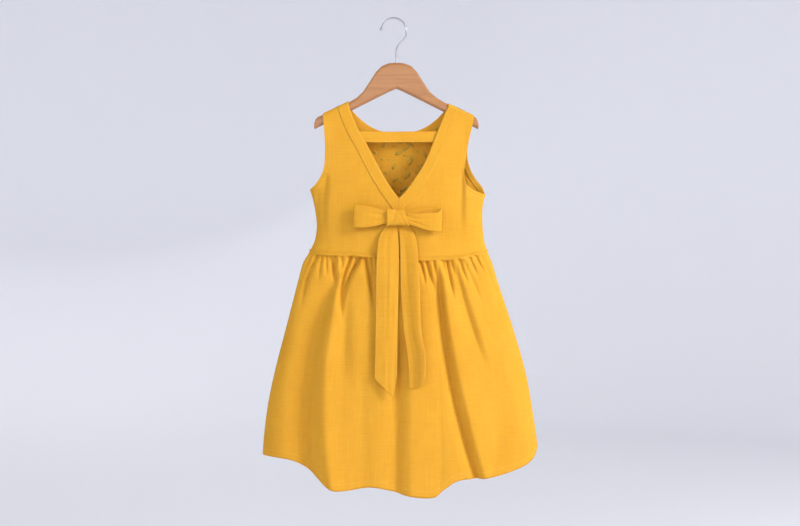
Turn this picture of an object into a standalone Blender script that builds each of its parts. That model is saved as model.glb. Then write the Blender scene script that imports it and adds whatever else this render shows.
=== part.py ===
# A child's sleeveless sundress hanging on a wooden hanger, seen from its back.
# Metres, +Z up. The origin is the inside of the hook's bend, where a rod bears.
# The garment's back faces -Y and its front faces +Y.

import bmesh
import bpy
from collections import namedtuple
from math import atan2, cos, pi, radians, sin, sqrt
from mathutils import Vector

# Driving sizes
CLOTH = 0.0012            # wall of the linen panels
BAND = 0.0010             # wall of the bands and facings sewn onto a panel
GAP = 0.0003              # between pieces that touch
SEAM_LEAN = 0.0004        # room for the lean of a wall's edge at a seam
WELD = 0.00001            # points closer than this are one
WOOD = 0.0120             # thickness of the hanger
WIRE = 0.0038             # diameter of the hook's wire

HANGER_X = 0.0052         # centre of the hanger, right of the origin
DRESS_X = 0.0093          # centre line of the dress, right of the origin

# Shoulders: the top edge of the wood is straight between the neck and the arm's end
SHOULDER_IN = 0.088       # from the hanger's centre
SHOULDER_OUT = 0.146
SHOULDER_TOP = -0.1535    # top of the wood at SHOULDER_IN
SHOULDER_FALL = 0.478     # drop for each metre outwards
ARCH_EASE = 0.0005
ARCH = WOOD / 2 + GAP + CLOTH / 2 + ARCH_EASE   # bend of the cloth over the wood
SHOULDER_EASE = 0.120     # below the bend, where the cloth has its full depth
SHOULDER_SEAM = 38.0      # degrees up the bend on the back, where back and front meet

# Cross-sections of the garment: half widths and depths from its centre
SECTION_POWER = 2.3
Section = namedtuple("Section", "height left right back front")
SECTIONS = [
    Section(-0.150, 0.200, 0.200, 0.009, 0.009),
    Section(-0.250, 0.190, 0.190, 0.018, 0.018),
    Section(-0.318, 0.163, 0.163, 0.025, 0.024),
    Section(-0.345, 0.1555, 0.1555, 0.027, 0.026),
    Section(-0.381, 0.151, 0.155, 0.028, 0.027),
    Section(-0.409, 0.1545, 0.158, 0.029, 0.028),
    Section(-0.430, 0.164, 0.164, 0.030, 0.029),
    Section(-0.451, 0.176, 0.1725, 0.0345, 0.033),
    Section(-0.481, 0.1845, 0.1815, 0.0395, 0.037),
    Section(-0.570, 0.2075, 0.2108, 0.048, 0.044),
    Section(-0.650, 0.2282, 0.2338, 0.053, 0.048),
    Section(-0.720, 0.2424, 0.2468, 0.057, 0.051),
    Section(-0.800, 0.2508, 0.2578, 0.061, 0.054),
    Section(-0.890, 0.2522, 0.2598, 0.065, 0.057),
]

# Edges of the half panels, from the bottom up, as distance from the centre line and height
Edge = namedtuple("Edge", "out height")
BACK_NECK = {
    -1: [Edge(0.000, -0.3336), Edge(0.0176, -0.309), Edge(0.0361, -0.2775),
         Edge(0.062, -0.2276), Edge(0.0736, -0.208), Edge(0.088, -0.174)],
    1: [Edge(0.000, -0.3336), Edge(0.0113, -0.3228), Edge(0.0302, -0.2969),
        Edge(0.049, -0.2664), Edge(0.0727, -0.208), Edge(0.0865, -0.174)],
}
FRONT_NECK = [Edge(0.000, -0.209), Edge(0.031, -0.2065), Edge(0.052, -0.198),
              Edge(0.070, -0.185), Edge(0.084, -0.171)]
NECK_TOP = 0.0925
BACK_ARMHOLE = {
    -1: [Edge(0.163, -0.316), Edge(0.151, -0.3035), Edge(0.1385, -0.280),
         Edge(0.1355, -0.244), Edge(0.137, -0.212)],
    1: [Edge(0.160, -0.325), Edge(0.149, -0.3215), Edge(0.136, -0.316), Edge(0.1245, -0.305),
        Edge(0.1205, -0.290), Edge(0.1235, -0.262), Edge(0.130, -0.224)],
}
FRONT_ARMHOLE = {
    -1: [Edge(0.163, -0.316), Edge(0.148, -0.300), Edge(0.134, -0.277),
         Edge(0.128, -0.252), Edge(0.131, -0.218)],
    1: [Edge(0.160, -0.325), Edge(0.155, -0.310), Edge(0.145, -0.297), Edge(0.134, -0.277),
        Edge(0.128, -0.252), Edge(0.131, -0.218)],
}
ARM_TOP = 0.1395

WAIST_SIDE = -0.430       # height of the waist seam at the sides
WAIST_SAG = 0.0085        # and how much lower it is at the centre
NECK_BAND_WIDTH = 0.020
FACING_WIDTH = 0.010
FACING_END = 0.74         # share of the armhole's edge, up to just below the wood
OVER_EDGE = 0.004         # how far the outline that cuts a strip passes its panel's edge
WELL_ABOVE = -0.130       # a height above the shoulders
PRISM_DEPTH = 0.080
STRAP_TOP = -0.2085
STRAP_BOTTOM = -0.2285
STRAP_HALF = 0.084
STRIP_STEPS = 12          # along the outline of a band or facing
NEAR = 0.02               # share of a path over which its direction is read
FRONT_BENDS = 4           # rows of the front panel over the hanger

# Hems, by the share of the half width
Hem = namedtuple("Hem", "reach height")
BACK_HEM = [
    Hem(-1.00, -0.804), Hem(-0.78, -0.8115), Hem(-0.64, -0.829), Hem(-0.50, -0.860),
    Hem(-0.40, -0.8635), Hem(-0.20, -0.8575), Hem(-0.04, -0.865), Hem(0.08, -0.873),
    Hem(0.25, -0.875), Hem(0.32, -0.861), Hem(0.42, -0.846), Hem(0.63, -0.8415),
    Hem(0.84, -0.8265), Hem(0.95, -0.811), Hem(1.00, -0.790),
]
FRONT_HEM = [
    Hem(-1.00, -0.804), Hem(-0.60, -0.822), Hem(-0.20, -0.838), Hem(0.20, -0.842),
    Hem(0.60, -0.826), Hem(1.00, -0.790),
]

# Gathers below the waist seam
GATHERS = 24
GATHER_SIZES = [(0.0, 0.0010), (0.010, 0.0034), (0.030, 0.0036), (0.060, 0.0022),
                (0.110, 0.0010), (0.160, 0.0)]
Wave = namedtuple("Wave", "size turn start")
GATHER_DEPTHS = [Wave(0.30, 2.4, 0.0), Wave(0.15, 5.1, 1.0)]
GATHER_DEPTH = 0.80       # mean share of the sizes above
GATHER_LENGTHS = [Wave(0.45, 3.7, 0.5)]
GATHER_RIDGE = 0.95       # of a gather's size, its ridge
GATHER_CREASE = 1.35      # and the drop from there to its crease
BACK_ROWS = [0.0, 0.02, 0.05, 0.10, 0.17, 0.26, 0.37, 0.49, 0.62, 0.75, 0.88, 1.0]
FRONT_ROWS = [0.0, 0.02, 0.055, 0.12, 0.21, 0.34, 0.50, 0.67, 0.84, 1.0]

# Main folds of the skirt: x at three heights, then width, depth and the ridges beside it.
# open_end is 1 where the fold runs out through the hem and 0 where it fades.
Fold = namedtuple("Fold", "top bottom x_top x_middle x_bottom width depth left right open_end")
BACK_FOLDS = [
    Fold(-0.450, -0.870, -0.104, -0.143, -0.139, 0.013, 0.012, 0.002, 0.010, 1),
    Fold(-0.452, -0.860, 0.074, 0.0955, 0.150, 0.010, 0.014, 0.005, 0.006, 1),
    Fold(-0.446, -0.690, 0.102, 0.141, 0.183, 0.010, 0.006, 0.003, 0.003, 0),
    Fold(-0.440, -0.570, 0.155, 0.178, 0.198, 0.009, 0.005, 0.002, 0.002, 0),
    Fold(-0.510, -0.660, -0.090, -0.094, -0.099, 0.012, 0.004, 0.001, 0.001, 0),
    Fold(-0.690, -0.880, 0.005, 0.007, -0.005, 0.012, 0.006, 0.003, 0.003, 1),
    Fold(-0.680, -0.800, -0.074, -0.076, -0.078, 0.013, 0.003, 0.001, 0.001, 0),
    Fold(-0.500, -0.840, -0.178, -0.196, -0.205, 0.016, 0.005, 0.001, 0.002, 1),
    Fold(-0.600, -0.850, 0.186, 0.200, 0.212, 0.016, 0.005, 0.002, 0.001, 1),
]
FRONT_FOLDS = [
    Fold(-0.448, -0.860, -0.125, -0.152, -0.168, 0.013, 0.011, 0.006, 0.004, 1),
    Fold(-0.450, -0.860, -0.062, -0.081, -0.092, 0.012, 0.010, 0.003, 0.006, 1),
    Fold(-0.460, -0.860, -0.004, -0.012, -0.008, 0.013, 0.009, 0.004, 0.004, 1),
    Fold(-0.446, -0.860, 0.055, 0.070, 0.084, 0.012, 0.013, 0.006, 0.004, 1),
    Fold(-0.446, -0.700, 0.104, 0.132, 0.160, 0.011, 0.007, 0.003, 0.003, 0),
    Fold(-0.560, -0.860, 0.150, 0.172, 0.182, 0.014, 0.009, 0.004, 0.003, 1),
    Fold(-0.500, -0.650, -0.170, -0.186, -0.200, 0.012, 0.005, 0.002, 0.002, 0),
]

FOLD_ONSET = 0.3          # share of a fold's length over which it deepens
FOLD_FADE = 0.4           # and over which it fades
FOLD_NARROW = 0.7         # its width at the top, as a share
FOLD_WIDER = 0.5          # and how much wider it gets
RIDGE_PLACE = 1.7         # of the width, from a fold to the ridges beside it

# Bow: a knot, two loops and two hanging ends, in front of the point of the neck
KNOT = Vector((-0.0035, -0.0388, -0.3680))
KNOT_HALF_WIDTH = 0.0180
KNOT_HALF_HEIGHT = 0.0160
KNOT_HALF_DEPTH = 0.0075
KNOT_SQUARE = 0.7         # below 1 the wrap is squarer than an ellipse
KNOT_FLARE = 0.0015       # how much wider it is at its bottom
KNOT_PINCH = 0.10         # and how much lower at its middle, as a share
Loop = namedtuple("Loop", "hand length root_half end_half depth rise")
LOOPS = {
    "bow_loop_left": Loop(-1, 0.069, 0.0105, 0.0200, 0.0100, 0.002),
    "bow_loop_right": Loop(1, 0.071, 0.0105, 0.0205, 0.0100, -0.006),
}
LOOP_TUCK = 0.010         # how far a loop's root lies inside the knot
LOOP_BLUNT = 0.8          # below 1 the loop's end is blunter than a sine
LOOP_OPENING = 1.3        # how soon it reaches its full width
LOOP_ROOT_DEPTH = 0.0030
LOOP_PLEAT = 0.0012

# Hanging ends: both edges, and how far each stands in front of the plain body
Tail = namedtuple("Tail", "height left right left_lift right_lift")
TAILS = {
    "tie_tail_left": [
        Tail(-0.369, -0.0210, -0.0040, 0.0020, 0.0020),
        Tail(-0.388, -0.0270, -0.0030, 0.0020, 0.0020),
        Tail(-0.402, -0.0350, -0.0010, 0.0050, 0.0050),
        Tail(-0.425, -0.0385, 0.0005, 0.0085, 0.0080),
        Tail(-0.460, -0.0405, 0.0005, 0.0085, 0.0085),
        Tail(-0.560, -0.0415, -0.0015, 0.0080, 0.0090),
        Tail(-0.700, -0.0440, -0.0035, 0.0080, 0.0085),
    ],
    "tie_tail_right": [
        Tail(-0.369, -0.0020, 0.0130, 0.0020, 0.0020),
        Tail(-0.388, 0.0005, 0.0235, 0.0020, 0.0020),
        Tail(-0.402, 0.0020, 0.0305, 0.0050, 0.0070),
        Tail(-0.425, 0.0030, 0.0340, 0.0080, 0.0130),
        Tail(-0.500, 0.0045, 0.0385, 0.0085, 0.0160),
        Tail(-0.570, 0.0095, 0.0410, 0.0085, 0.0180),
        Tail(-0.625, 0.0170, 0.0490, 0.0085, 0.0190),
        Tail(-0.700, 0.0210, 0.0460, 0.0085, 0.0150),
    ],
}
TAIL_COLUMNS = [0.0, 0.3, 0.6, 0.87, 1.0]
TAIL_STEPS = 14
TAIL_CURL = 0.0015        # bow of its width
TAIL_CURL_ONSET = 0.050   # length over which it bows
TAIL_ENDS = {
    "tie_tail_left": [-0.661, -0.673, -0.685, -0.696, -0.652],
    "tie_tail_right": [-0.678, -0.679, -0.677, -0.671, -0.655],
}

# Hanger: top and bottom edge by distance from its centre
Wood = namedtuple("Wood", "out top bottom")


def shoulder_wood(out):
    """Height of the wood's straight top edge."""
    return SHOULDER_TOP - SHOULDER_FALL * (out - SHOULDER_IN)


HANGER = [
    Wood(0.000, -0.0803, -0.1290),
    Wood(0.014, -0.0815, -0.1350),
    Wood(0.027, -0.0865, -0.1415),
    Wood(0.038, -0.0975, -0.1470),
    Wood(0.050, -0.1165, -0.1530),
    Wood(0.062, -0.1345, -0.1590),
    Wood(0.075, -0.1460, -0.1655),
    Wood(SHOULDER_IN, shoulder_wood(SHOULDER_IN), -0.1720),
    Wood(0.117, shoulder_wood(0.117), -0.1865),
    Wood(SHOULDER_OUT, shoulder_wood(SHOULDER_OUT), -0.2010),
    Wood(0.1500, -0.1860, -0.2035),
    Wood(0.1520, -0.1930, -0.2025),
]
WOOD_BOTTOM_ROUND = 0.0050
WOOD_ARC_STEPS = 5
WOOD_TIP = 0.8            # thickness of the rounded ends, as a share
WOOD_FLAT = 0.0002        # least half height of the flat between the two round edges

# Hook
HOOK_RADIUS = 0.0238      # centre line of the bend
HOOK_START = 172.0        # degrees, at the ball
HOOK_END = -52.0
HOOK_STEPS = 22
BALL_RADIUS = 0.0029
BALL_STEPS = 6
BALL_REACH = 0.95         # share of its radius where its tip is flat
SHANK_FIT = 0.0003        # clearance of the shank in its hole
HOLE_DEPTH = 0.0140
NECK_STEPS = 12
NECK_STEP = 0.001         # least drop from the end of the bend to the neck's first ring
HOLE_SIDES = 16
NECK_PATH = [(0.0098, -0.0455), (0.0062, -0.0520), (HANGER_X, -0.0600), (HANGER_X, -0.0700)]


def smooth(share):
    """Ease from 0 to 1."""
    share = min(1.0, max(0.0, share))
    return share * share * (3 - 2 * share)


def read(rows, place, column):
    """Smoothly read one column of a table at a place along its first column."""
    forward = rows if rows[-1][0] > rows[0][0] else rows[::-1]
    place = min(max(place, forward[0][0]), forward[-1][0])
    last = len(forward) - 1
    at = next(i for i in range(last) if place <= forward[i + 1][0])
    span = forward[at + 1][0] - forward[at][0]
    share = (place - forward[at][0]) / span

    def slope(i):
        low = max(0, i - 1)
        high = min(last, i + 1)
        return (forward[high][column] - forward[low][column]) / (forward[high][0] - forward[low][0])

    start = forward[at][column]
    end = forward[at + 1][column]
    square = share * share
    cube = square * share
    return ((2 * cube - 3 * square + 1) * start + (cube - 2 * square + share) * span * slope(at)
            + (3 * square - 2 * cube) * end + (cube - square) * span * slope(at + 1))


def along(points, share):
    """A point at a share of the length of a smooth path through 2D points."""
    lengths = [0.0]
    for near, far in zip(points, points[1:]):
        lengths.append(lengths[-1] + sqrt((far[0] - near[0]) ** 2 + (far[1] - near[1]) ** 2))
    rows = [(length, *point) for length, point in zip(lengths, points)]
    return read(rows, share * lengths[-1], 1), read(rows, share * lengths[-1], 2)


def half_width(hand, height):
    """Half width of the garment at a height, left for -1 and right for 1."""
    return read(SECTIONS, height, 1 if hand < 0 else 2)


def body_depth(side, x, height):
    """Depth of the plain body: side is -1 for the back and 1 for the front."""
    reach = min(1.0, abs(x) / half_width(x, height))
    deep = read(SECTIONS, height, 3 if side < 0 else 4)
    return SEAM_LEAN + deep * (1 - reach ** SECTION_POWER) ** (1 / SECTION_POWER)


def spring(x):
    """Height where the cloth starts to bend over the hanger."""
    out = min(max(abs(x + DRESS_X - HANGER_X), SHOULDER_IN), SHOULDER_OUT)
    return shoulder_wood(out) + GAP + CLOTH / 2 + ARCH_EASE - ARCH


def drape(side, x, height):
    """Where a point of a bodice panel hangs. Above the spring line the height is cloth length."""
    start = spring(x)
    if height > start:
        angle = (height - start) / ARCH
        return Vector((x, side * ARCH * cos(angle), start + ARCH * sin(angle)))
    hang = smooth((start - height) / SHOULDER_EASE)
    depth = ARCH + (body_depth(side, x, height) - ARCH) * hang
    return Vector((x, side * depth, height))


def material(name, colour, roughness, metallic=0.0):
    """A plain finish."""
    made = bpy.data.materials.new(name)
    made.use_nodes = True
    shader = made.node_tree.nodes["Principled BSDF"]
    shader.inputs["Base Color"].default_value = (*colour, 1.0)
    shader.inputs["Roughness"].default_value = roughness
    shader.inputs["Metallic"].default_value = metallic
    return made


def add_object(name, data, parent, finish):
    """Put an object into the garment's collection."""
    made = bpy.data.objects.new(name, data)
    parts.objects.link(made)
    made.parent = parent
    made.data.materials.append(finish)
    return made


def sheet(name, pieces, wall, parent, finish, lift=0.0):
    """Cloth from grids: each piece is (columns, rows, place), with place(across, up)."""
    work = bmesh.new()
    for columns, rows, place in pieces:
        grid = bmesh.ops.create_grid(work, x_segments=columns, y_segments=rows, size=1.0)
        for vertex in grid["verts"]:
            vertex.co = place((vertex.co.x + 1) / 2, (vertex.co.y + 1) / 2)
    bmesh.ops.remove_doubles(work, verts=work.verts, dist=WELD)
    bmesh.ops.triangulate(work, faces=work.faces, quad_method="SHORT_EDGE")
    work.normal_update()
    for vertex in work.verts:
        vertex.co += vertex.normal * lift
    mesh = bpy.data.meshes.new(name)
    work.to_mesh(mesh)
    work.free()
    mesh.shade_smooth()
    made = add_object(name, mesh, parent, finish)
    thick = made.modifiers.new("cloth", "SOLIDIFY")
    thick.thickness = wall
    thick.offset = 0.0
    return made


# Bodice: two half grids that share the centre line below the neck opening
LOWER_ROWS = 5
UPPER_ROWS = 9
CENTRE_ROWS = 4           # of the upper rows, those below the front neckline
LOWER_BOW = 3.0           # how much more the row below the armhole is bowed than the waist
HALF_COLUMNS = 10
SIDE_CROWDING = 0.8
ARM_CROWDING = 1.45       # brings the rows closer together at the underarm


def neck_path(side, hand):
    """Neck edge of a half panel, up to the spring line."""
    points = BACK_NECK[hand] if side < 0 else FRONT_NECK
    return points + [Edge(NECK_TOP, spring(hand * NECK_TOP))]


def arm_path(side, hand):
    """Armhole edge of a half panel, up to the spring line."""
    points = (BACK_ARMHOLE if side < 0 else FRONT_ARMHOLE)[hand]
    return points + [Edge(ARM_TOP, spring(hand * ARM_TOP))]


def bend_angles(side):
    """Angles of the rows over the hanger, up to the shoulder seam."""
    if side < 0:
        return [radians(SHOULDER_SEAM)]
    end = pi - radians(SHOULDER_SEAM) - (GAP + SEAM_LEAN) / ARCH
    return [end * (step + 1) / FRONT_BENDS for step in range(FRONT_BENDS)]


def waist(share):
    """Height of the waist seam at a share of the half width."""
    return WAIST_SIDE - WAIST_SAG * (1 - share * share)


def bodice_row(side, hand, row):
    """Inner end, outer end and bow of one row of a half panel."""
    neck = neck_path(side, hand)
    arm = arm_path(side, hand)
    opening = BACK_NECK[hand][0].height
    if row <= LOWER_ROWS:
        share = row / LOWER_ROWS
        inner = waist(0) + (opening - waist(0)) * share
        outer = waist(1) + (arm[0].height - waist(1)) * share
        return (0.0, inner), (half_width(hand, outer), outer), 2.0 + LOWER_BOW * share
    step = min(row - LOWER_ROWS, UPPER_ROWS)
    outer = along(arm, (step / UPPER_ROWS) ** ARM_CROWDING)
    if side < 0:
        return along(neck, step / UPPER_ROWS), outer, 1.0
    if step <= CENTRE_ROWS:
        return (0.0, opening + (neck[0].height - opening) * step / CENTRE_ROWS), outer, 1.0
    return along(neck, (step - CENTRE_ROWS) / (UPPER_ROWS - CENTRE_ROWS)), outer, 1.0


def bodice_half(side, hand):
    """Placing function for a half panel, with across from 0 on its left edge."""
    bends = bend_angles(side)
    rows = LOWER_ROWS + UPPER_ROWS + len(bends)

    def place(across, up):
        row = round(up * rows)
        share = across if hand > 0 else 1 - across
        share = (1 - SIDE_CROWDING) * share + SIDE_CROWDING * sin(share * pi / 2)
        inner, outer, power = bodice_row(side, hand, row)
        x = hand * (inner[0] + (outer[0] - inner[0]) * share)
        height = inner[1] + (outer[1] - inner[1]) * share ** power
        if row >= LOWER_ROWS + UPPER_ROWS:
            height = spring(x)
        if row > LOWER_ROWS + UPPER_ROWS:
            height += ARCH * bends[row - LOWER_ROWS - UPPER_ROWS - 1]
        return drape(side, x, height)

    return HALF_COLUMNS, rows, place


def bodice_panel(name, side):
    """Back or front of the bodice."""
    return sheet(name, [bodice_half(side, -1), bodice_half(side, 1)], CLOTH, dress, linen)


# Skirt
SKIRT_COLUMNS = 4 * GATHERS
SIDE_ANGLE = radians(72)


def fold_height(folds, x, height):
    """Sum of the folds at a place, outwards where it is above 0."""
    total = 0.0
    for fold in folds:
        share = (fold.top - height) / (fold.top - fold.bottom)
        if share <= 0 or (share >= 1 and not fold.open_end):
            continue
        centre = ((2 * share - 1) * (share - 1) * fold.x_top + 4 * share * (1 - share) * fold.x_middle
                  + share * (2 * share - 1) * fold.x_bottom)
        fade = smooth(share / FOLD_ONSET)
        if not fold.open_end:
            fade *= smooth((1 - share) / FOLD_FADE)
        offset = (x - centre) / (fold.width * (FOLD_NARROW + FOLD_WIDER * share))
        ridges = fold.left * bump(offset + RIDGE_PLACE) + fold.right * bump(offset - RIDGE_PLACE)
        total += fade * (ridges - fold.depth * bump(offset))
    return total


def bump(offset):
    """A soft hump, 1 at its middle."""
    return 1 / (1 + offset ** 2) ** 2


def waves(rows, index):
    """Sum of a table of waves at a whole number."""
    return sum(row.size * sin(row.turn * index + row.start) for row in rows)


def gather_height(share, drop):
    """Height of the gathers at a share of the width and a drop below the seam."""
    number = share * GATHERS
    index = round(number)
    reach = drop * (1 + waves(GATHER_LENGTHS, index))
    profile = GATHER_RIDGE - GATHER_CREASE * abs(cos(pi * number)) ** 3
    return read(GATHER_SIZES, reach, 1) * (GATHER_DEPTH + waves(GATHER_DEPTHS, index)) * profile


def skirt_panel(name, side, hem, folds, row_shares):
    """Back or front of the skirt."""

    def place(across, up):
        reach = sin((2 * across - 1) * SIDE_ANGLE) / sin(SIDE_ANGLE)
        top = waist(reach) - GAP - SEAM_LEAN
        down = row_shares[len(row_shares) - 1 - round(up * (len(row_shares) - 1))]
        height = top + (read(hem, reach, 1) - top) * down
        x = reach * half_width(reach, height)
        relief = gather_height(across, top - height) + fold_height(folds, x, height)
        relief *= 1 - abs(reach) ** 10
        return Vector((x, side * (body_depth(side, x, height) + relief), height))

    return sheet(name, [(SKIRT_COLUMNS, len(row_shares) - 1, place)], CLOTH, dress, linen)


def beside(path, share, off, turned):
    """A point at a distance off a path, to its right where turned is -1 and left where it is 1."""
    near = along(path, max(0.0, share - NEAR))
    far = along(path, min(1.0, share + NEAR))
    turn = atan2(far[1] - near[1], far[0] - near[0]) + turned * pi / 2
    out, height = along(path, share)
    return out + off * cos(turn), height + off * sin(turn)


def prism(name, side, hand, outline):
    """A cutter: an outline of distances and heights, from the garment's middle outwards."""
    curve = bpy.data.curves.new(name, "CURVE")
    curve.dimensions = "2D"
    curve.fill_mode = "BOTH"
    curve.extrude = PRISM_DEPTH / 2
    line = curve.splines.new("POLY")
    line.use_cyclic_u = True
    line.points.add(len(outline) - 1)
    for point, (out, height) in zip(line.points, outline):
        point.co = (hand * out, height, 0, 1)
    flat = bpy.data.objects.new(name, curve)
    cutters.objects.link(flat)
    mesh = bpy.data.meshes.new_from_object(flat.evaluated_get(bpy.context.evaluated_depsgraph_get()))
    bpy.data.objects.remove(flat)
    work = bmesh.new()
    work.from_mesh(mesh)
    bmesh.ops.remove_doubles(work, verts=work.verts, dist=WELD)
    bmesh.ops.recalc_face_normals(work, faces=work.faces)
    work.to_mesh(mesh)
    work.free()
    made = bpy.data.objects.new(name, mesh)
    cutters.objects.link(made)
    made.parent = dress
    made.rotation_euler.x = pi / 2
    made.location.y = side * (PRISM_DEPTH / 2 + GAP / 2)
    made.hide_render = True
    made.display_type = "WIRE"
    return made


def cover(name, side, hand, outward, outline):
    """A strip with a half panel's own points, moved off it and cut to an outline."""
    lift = (CLOTH + BAND) / 2 + GAP
    made = sheet(name, [bodice_half(side, hand)], BAND, dress, linen, -lift * side * outward)
    cut = made.modifiers.new("outline", "BOOLEAN")
    cut.operation = "INTERSECT"
    cut.object = prism(name + "_outline", side, hand, outline)
    return made


def neck_band(name, hand):
    """Band on the back panel along one side of the neck opening, mitred at its point."""
    path = neck_path(-1, hand)
    shares = [step / STRIP_STEPS for step in range(1, STRIP_STEPS + 1)]
    inner = [beside(path, share, OVER_EDGE, 1) for share in shares]
    outer = [beside(path, share, NECK_BAND_WIDTH, -1) for share in shares]
    middle = GAP / 2
    corner = along(path, NEAR)
    mitre = NECK_BAND_WIDTH / sin(atan2(corner[0], corner[1] - path[0].height))
    top = [(inner[-1][0], WELL_ABOVE), (outer[-1][0], WELL_ABOVE)]
    point = [(middle, path[0].height - mitre), (middle, path[0].height + OVER_EDGE)]
    kept = [place for place in inner if place[0] > middle]
    return cover(name, -1, hand, 1, point + kept + top + outer[::-1])


def armhole_facing(name, side, hand):
    """Strip inside a panel along its armhole, from the side seam to just below the wood."""
    path = arm_path(side, hand)
    shares = [FACING_END * step / STRIP_STEPS for step in range(STRIP_STEPS + 1)]
    inner = [beside(path, share, FACING_WIDTH, 1) for share in shares]
    outer = [beside(path, share, OVER_EDGE, -1) for share in shares[::-1]]
    past = path[0].out + 2 * FACING_WIDTH
    corner = [(past, path[0].height + OVER_EDGE), (past, path[0].height - FACING_WIDTH)]
    return cover(name, side, hand, -1, inner + outer + corner)


def back_strap():
    """Straight strap across the neck opening, its ends behind the back panel's edges."""
    def place(across, up):
        height = STRAP_BOTTOM + (STRAP_TOP - STRAP_BOTTOM) * up
        y = drape(-1, STRAP_HALF, height).y + CLOTH + GAP + SEAM_LEAN
        return Vector((STRAP_HALF * (2 * across - 1), y, height))

    return sheet("back_strap", [(6, 1, place)], CLOTH, dress, linen)


def bow_loop(name, loop):
    """A ribbon folded into a loop, its root pinched inside the knot."""
    root = KNOT + Vector((loop.hand * (KNOT_HALF_WIDTH - LOOP_TUCK), 0, 0))

    def place(across, up):
        turn = pi * across
        reach = sin(turn) ** LOOP_BLUNT
        open_out = smooth(reach * LOOP_OPENING)
        half = loop.root_half + (loop.end_half - loop.root_half) * open_out
        depth = LOOP_ROOT_DEPTH + (loop.depth / 2 - LOOP_ROOT_DEPTH) * open_out
        pleat = LOOP_PLEAT * cos(3 * pi * up) * (1 - open_out)
        spread = 2 * up - 1
        return root + Vector((loop.hand * loop.length * reach,
                              -depth * cos(turn) + pleat,
                              loop.rise * reach + half * spread))

    return sheet(name, [(14, 6, place)], CLOTH, dress, linen)


def bow_knot():
    """The strip wrapped round the middle of the bow, open at both sides."""

    def place(across, up):
        turn = 2 * pi * across
        ring_y = cos(turn)
        ring_z = sin(turn)
        x = (KNOT_HALF_WIDTH - KNOT_FLARE * ring_z) * (2 * up - 1)
        pinch = 1 - KNOT_PINCH * (1 - (2 * up - 1) ** 2)
        y = KNOT_HALF_DEPTH * (1 if ring_y > 0 else -1) * abs(ring_y) ** KNOT_SQUARE
        z = KNOT_HALF_HEIGHT * (1 if ring_z > 0 else -1) * abs(ring_z) ** KNOT_SQUARE
        return KNOT + Vector((x, y, z * pinch))

    return sheet("bow_knot", [(16, 4, place)], CLOTH, dress, linen)


def tie_tail(name):
    """A hanging end of the tie, lying in front of the skirt."""
    rows = TAILS[name]
    ends = TAIL_ENDS[name]
    top = rows[0].height

    def place(across, up):
        column = round(across * (len(TAIL_COLUMNS) - 1))
        share = TAIL_COLUMNS[column]
        height = top + (ends[column] - top) * (1 - up)
        left = read(rows, height, 1)
        right = read(rows, height, 2)
        lift = read(rows, height, 3) * (1 - share) + read(rows, height, 4) * share
        curl = TAIL_CURL * sin(pi * share) * smooth((top - height) / TAIL_CURL_ONSET)
        deep = read(SECTIONS, height, 3)
        return Vector((left + (right - left) * share, -(deep + lift + curl), height))

    return sheet(name, [(len(TAIL_COLUMNS) - 1, TAIL_STEPS, place)], CLOTH, dress, linen)


def hanger():
    """The wooden hanger: upright sections with round edges, from end to end."""
    stations = [Wood(-row.out, row.top, row.bottom) for row in HANGER[:0:-1]] + HANGER
    around = 2 * WOOD_ARC_STEPS

    def place(across, up):
        row = stations[round(across * (len(stations) - 1))]
        step = round(up * around) % around
        upper = step < WOOD_ARC_STEPS
        turn = pi * (step % WOOD_ARC_STEPS) / (WOOD_ARC_STEPS - 1) + (0 if upper else pi)
        half = WOOD / 2 * (1 if row.top > shoulder_wood(SHOULDER_OUT) else WOOD_TIP)
        rounding = min(half if upper else WOOD_BOTTOM_ROUND, (row.top - row.bottom) / 2 - WOOD_FLAT)
        middle = row.top - rounding if upper else row.bottom + rounding
        return Vector((row.out, half * cos(turn), middle + rounding * sin(turn)))

    work = bmesh.new()
    grid = bmesh.ops.create_grid(work, x_segments=len(stations) - 1, y_segments=around, size=1.0)
    for vertex in grid["verts"]:
        vertex.co = place((vertex.co.x + 1) / 2, (vertex.co.y + 1) / 2)
    bmesh.ops.remove_doubles(work, verts=work.verts, dist=WELD)
    bmesh.ops.holes_fill(work, edges=[edge for edge in work.edges if edge.is_boundary])
    bmesh.ops.recalc_face_normals(work, faces=work.faces)
    mesh = bpy.data.meshes.new("hanger")
    work.to_mesh(mesh)
    work.free()
    mesh.shade_smooth()
    mesh.set_sharp_from_angle(angle=radians(40))
    made = add_object("hanger", mesh, rack, wood)
    made.location.x = HANGER_X

    work = bmesh.new()
    bmesh.ops.create_cone(work, cap_ends=True, segments=HOLE_SIDES, radius1=WIRE / 2 + SHANK_FIT,
                          radius2=WIRE / 2 + SHANK_FIT, depth=2 * HOLE_DEPTH)
    mesh = bpy.data.meshes.new("shank_hole")
    work.to_mesh(mesh)
    work.free()
    hole = bpy.data.objects.new("shank_hole", mesh)
    cutters.objects.link(hole)
    hole.location = (HANGER_X, 0, HANGER[0].top)
    hole.hide_render = True
    hole.display_type = "WIRE"
    cut = made.modifiers.new("shank_hole", "BOOLEAN")
    cut.object = hole
    return made


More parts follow.
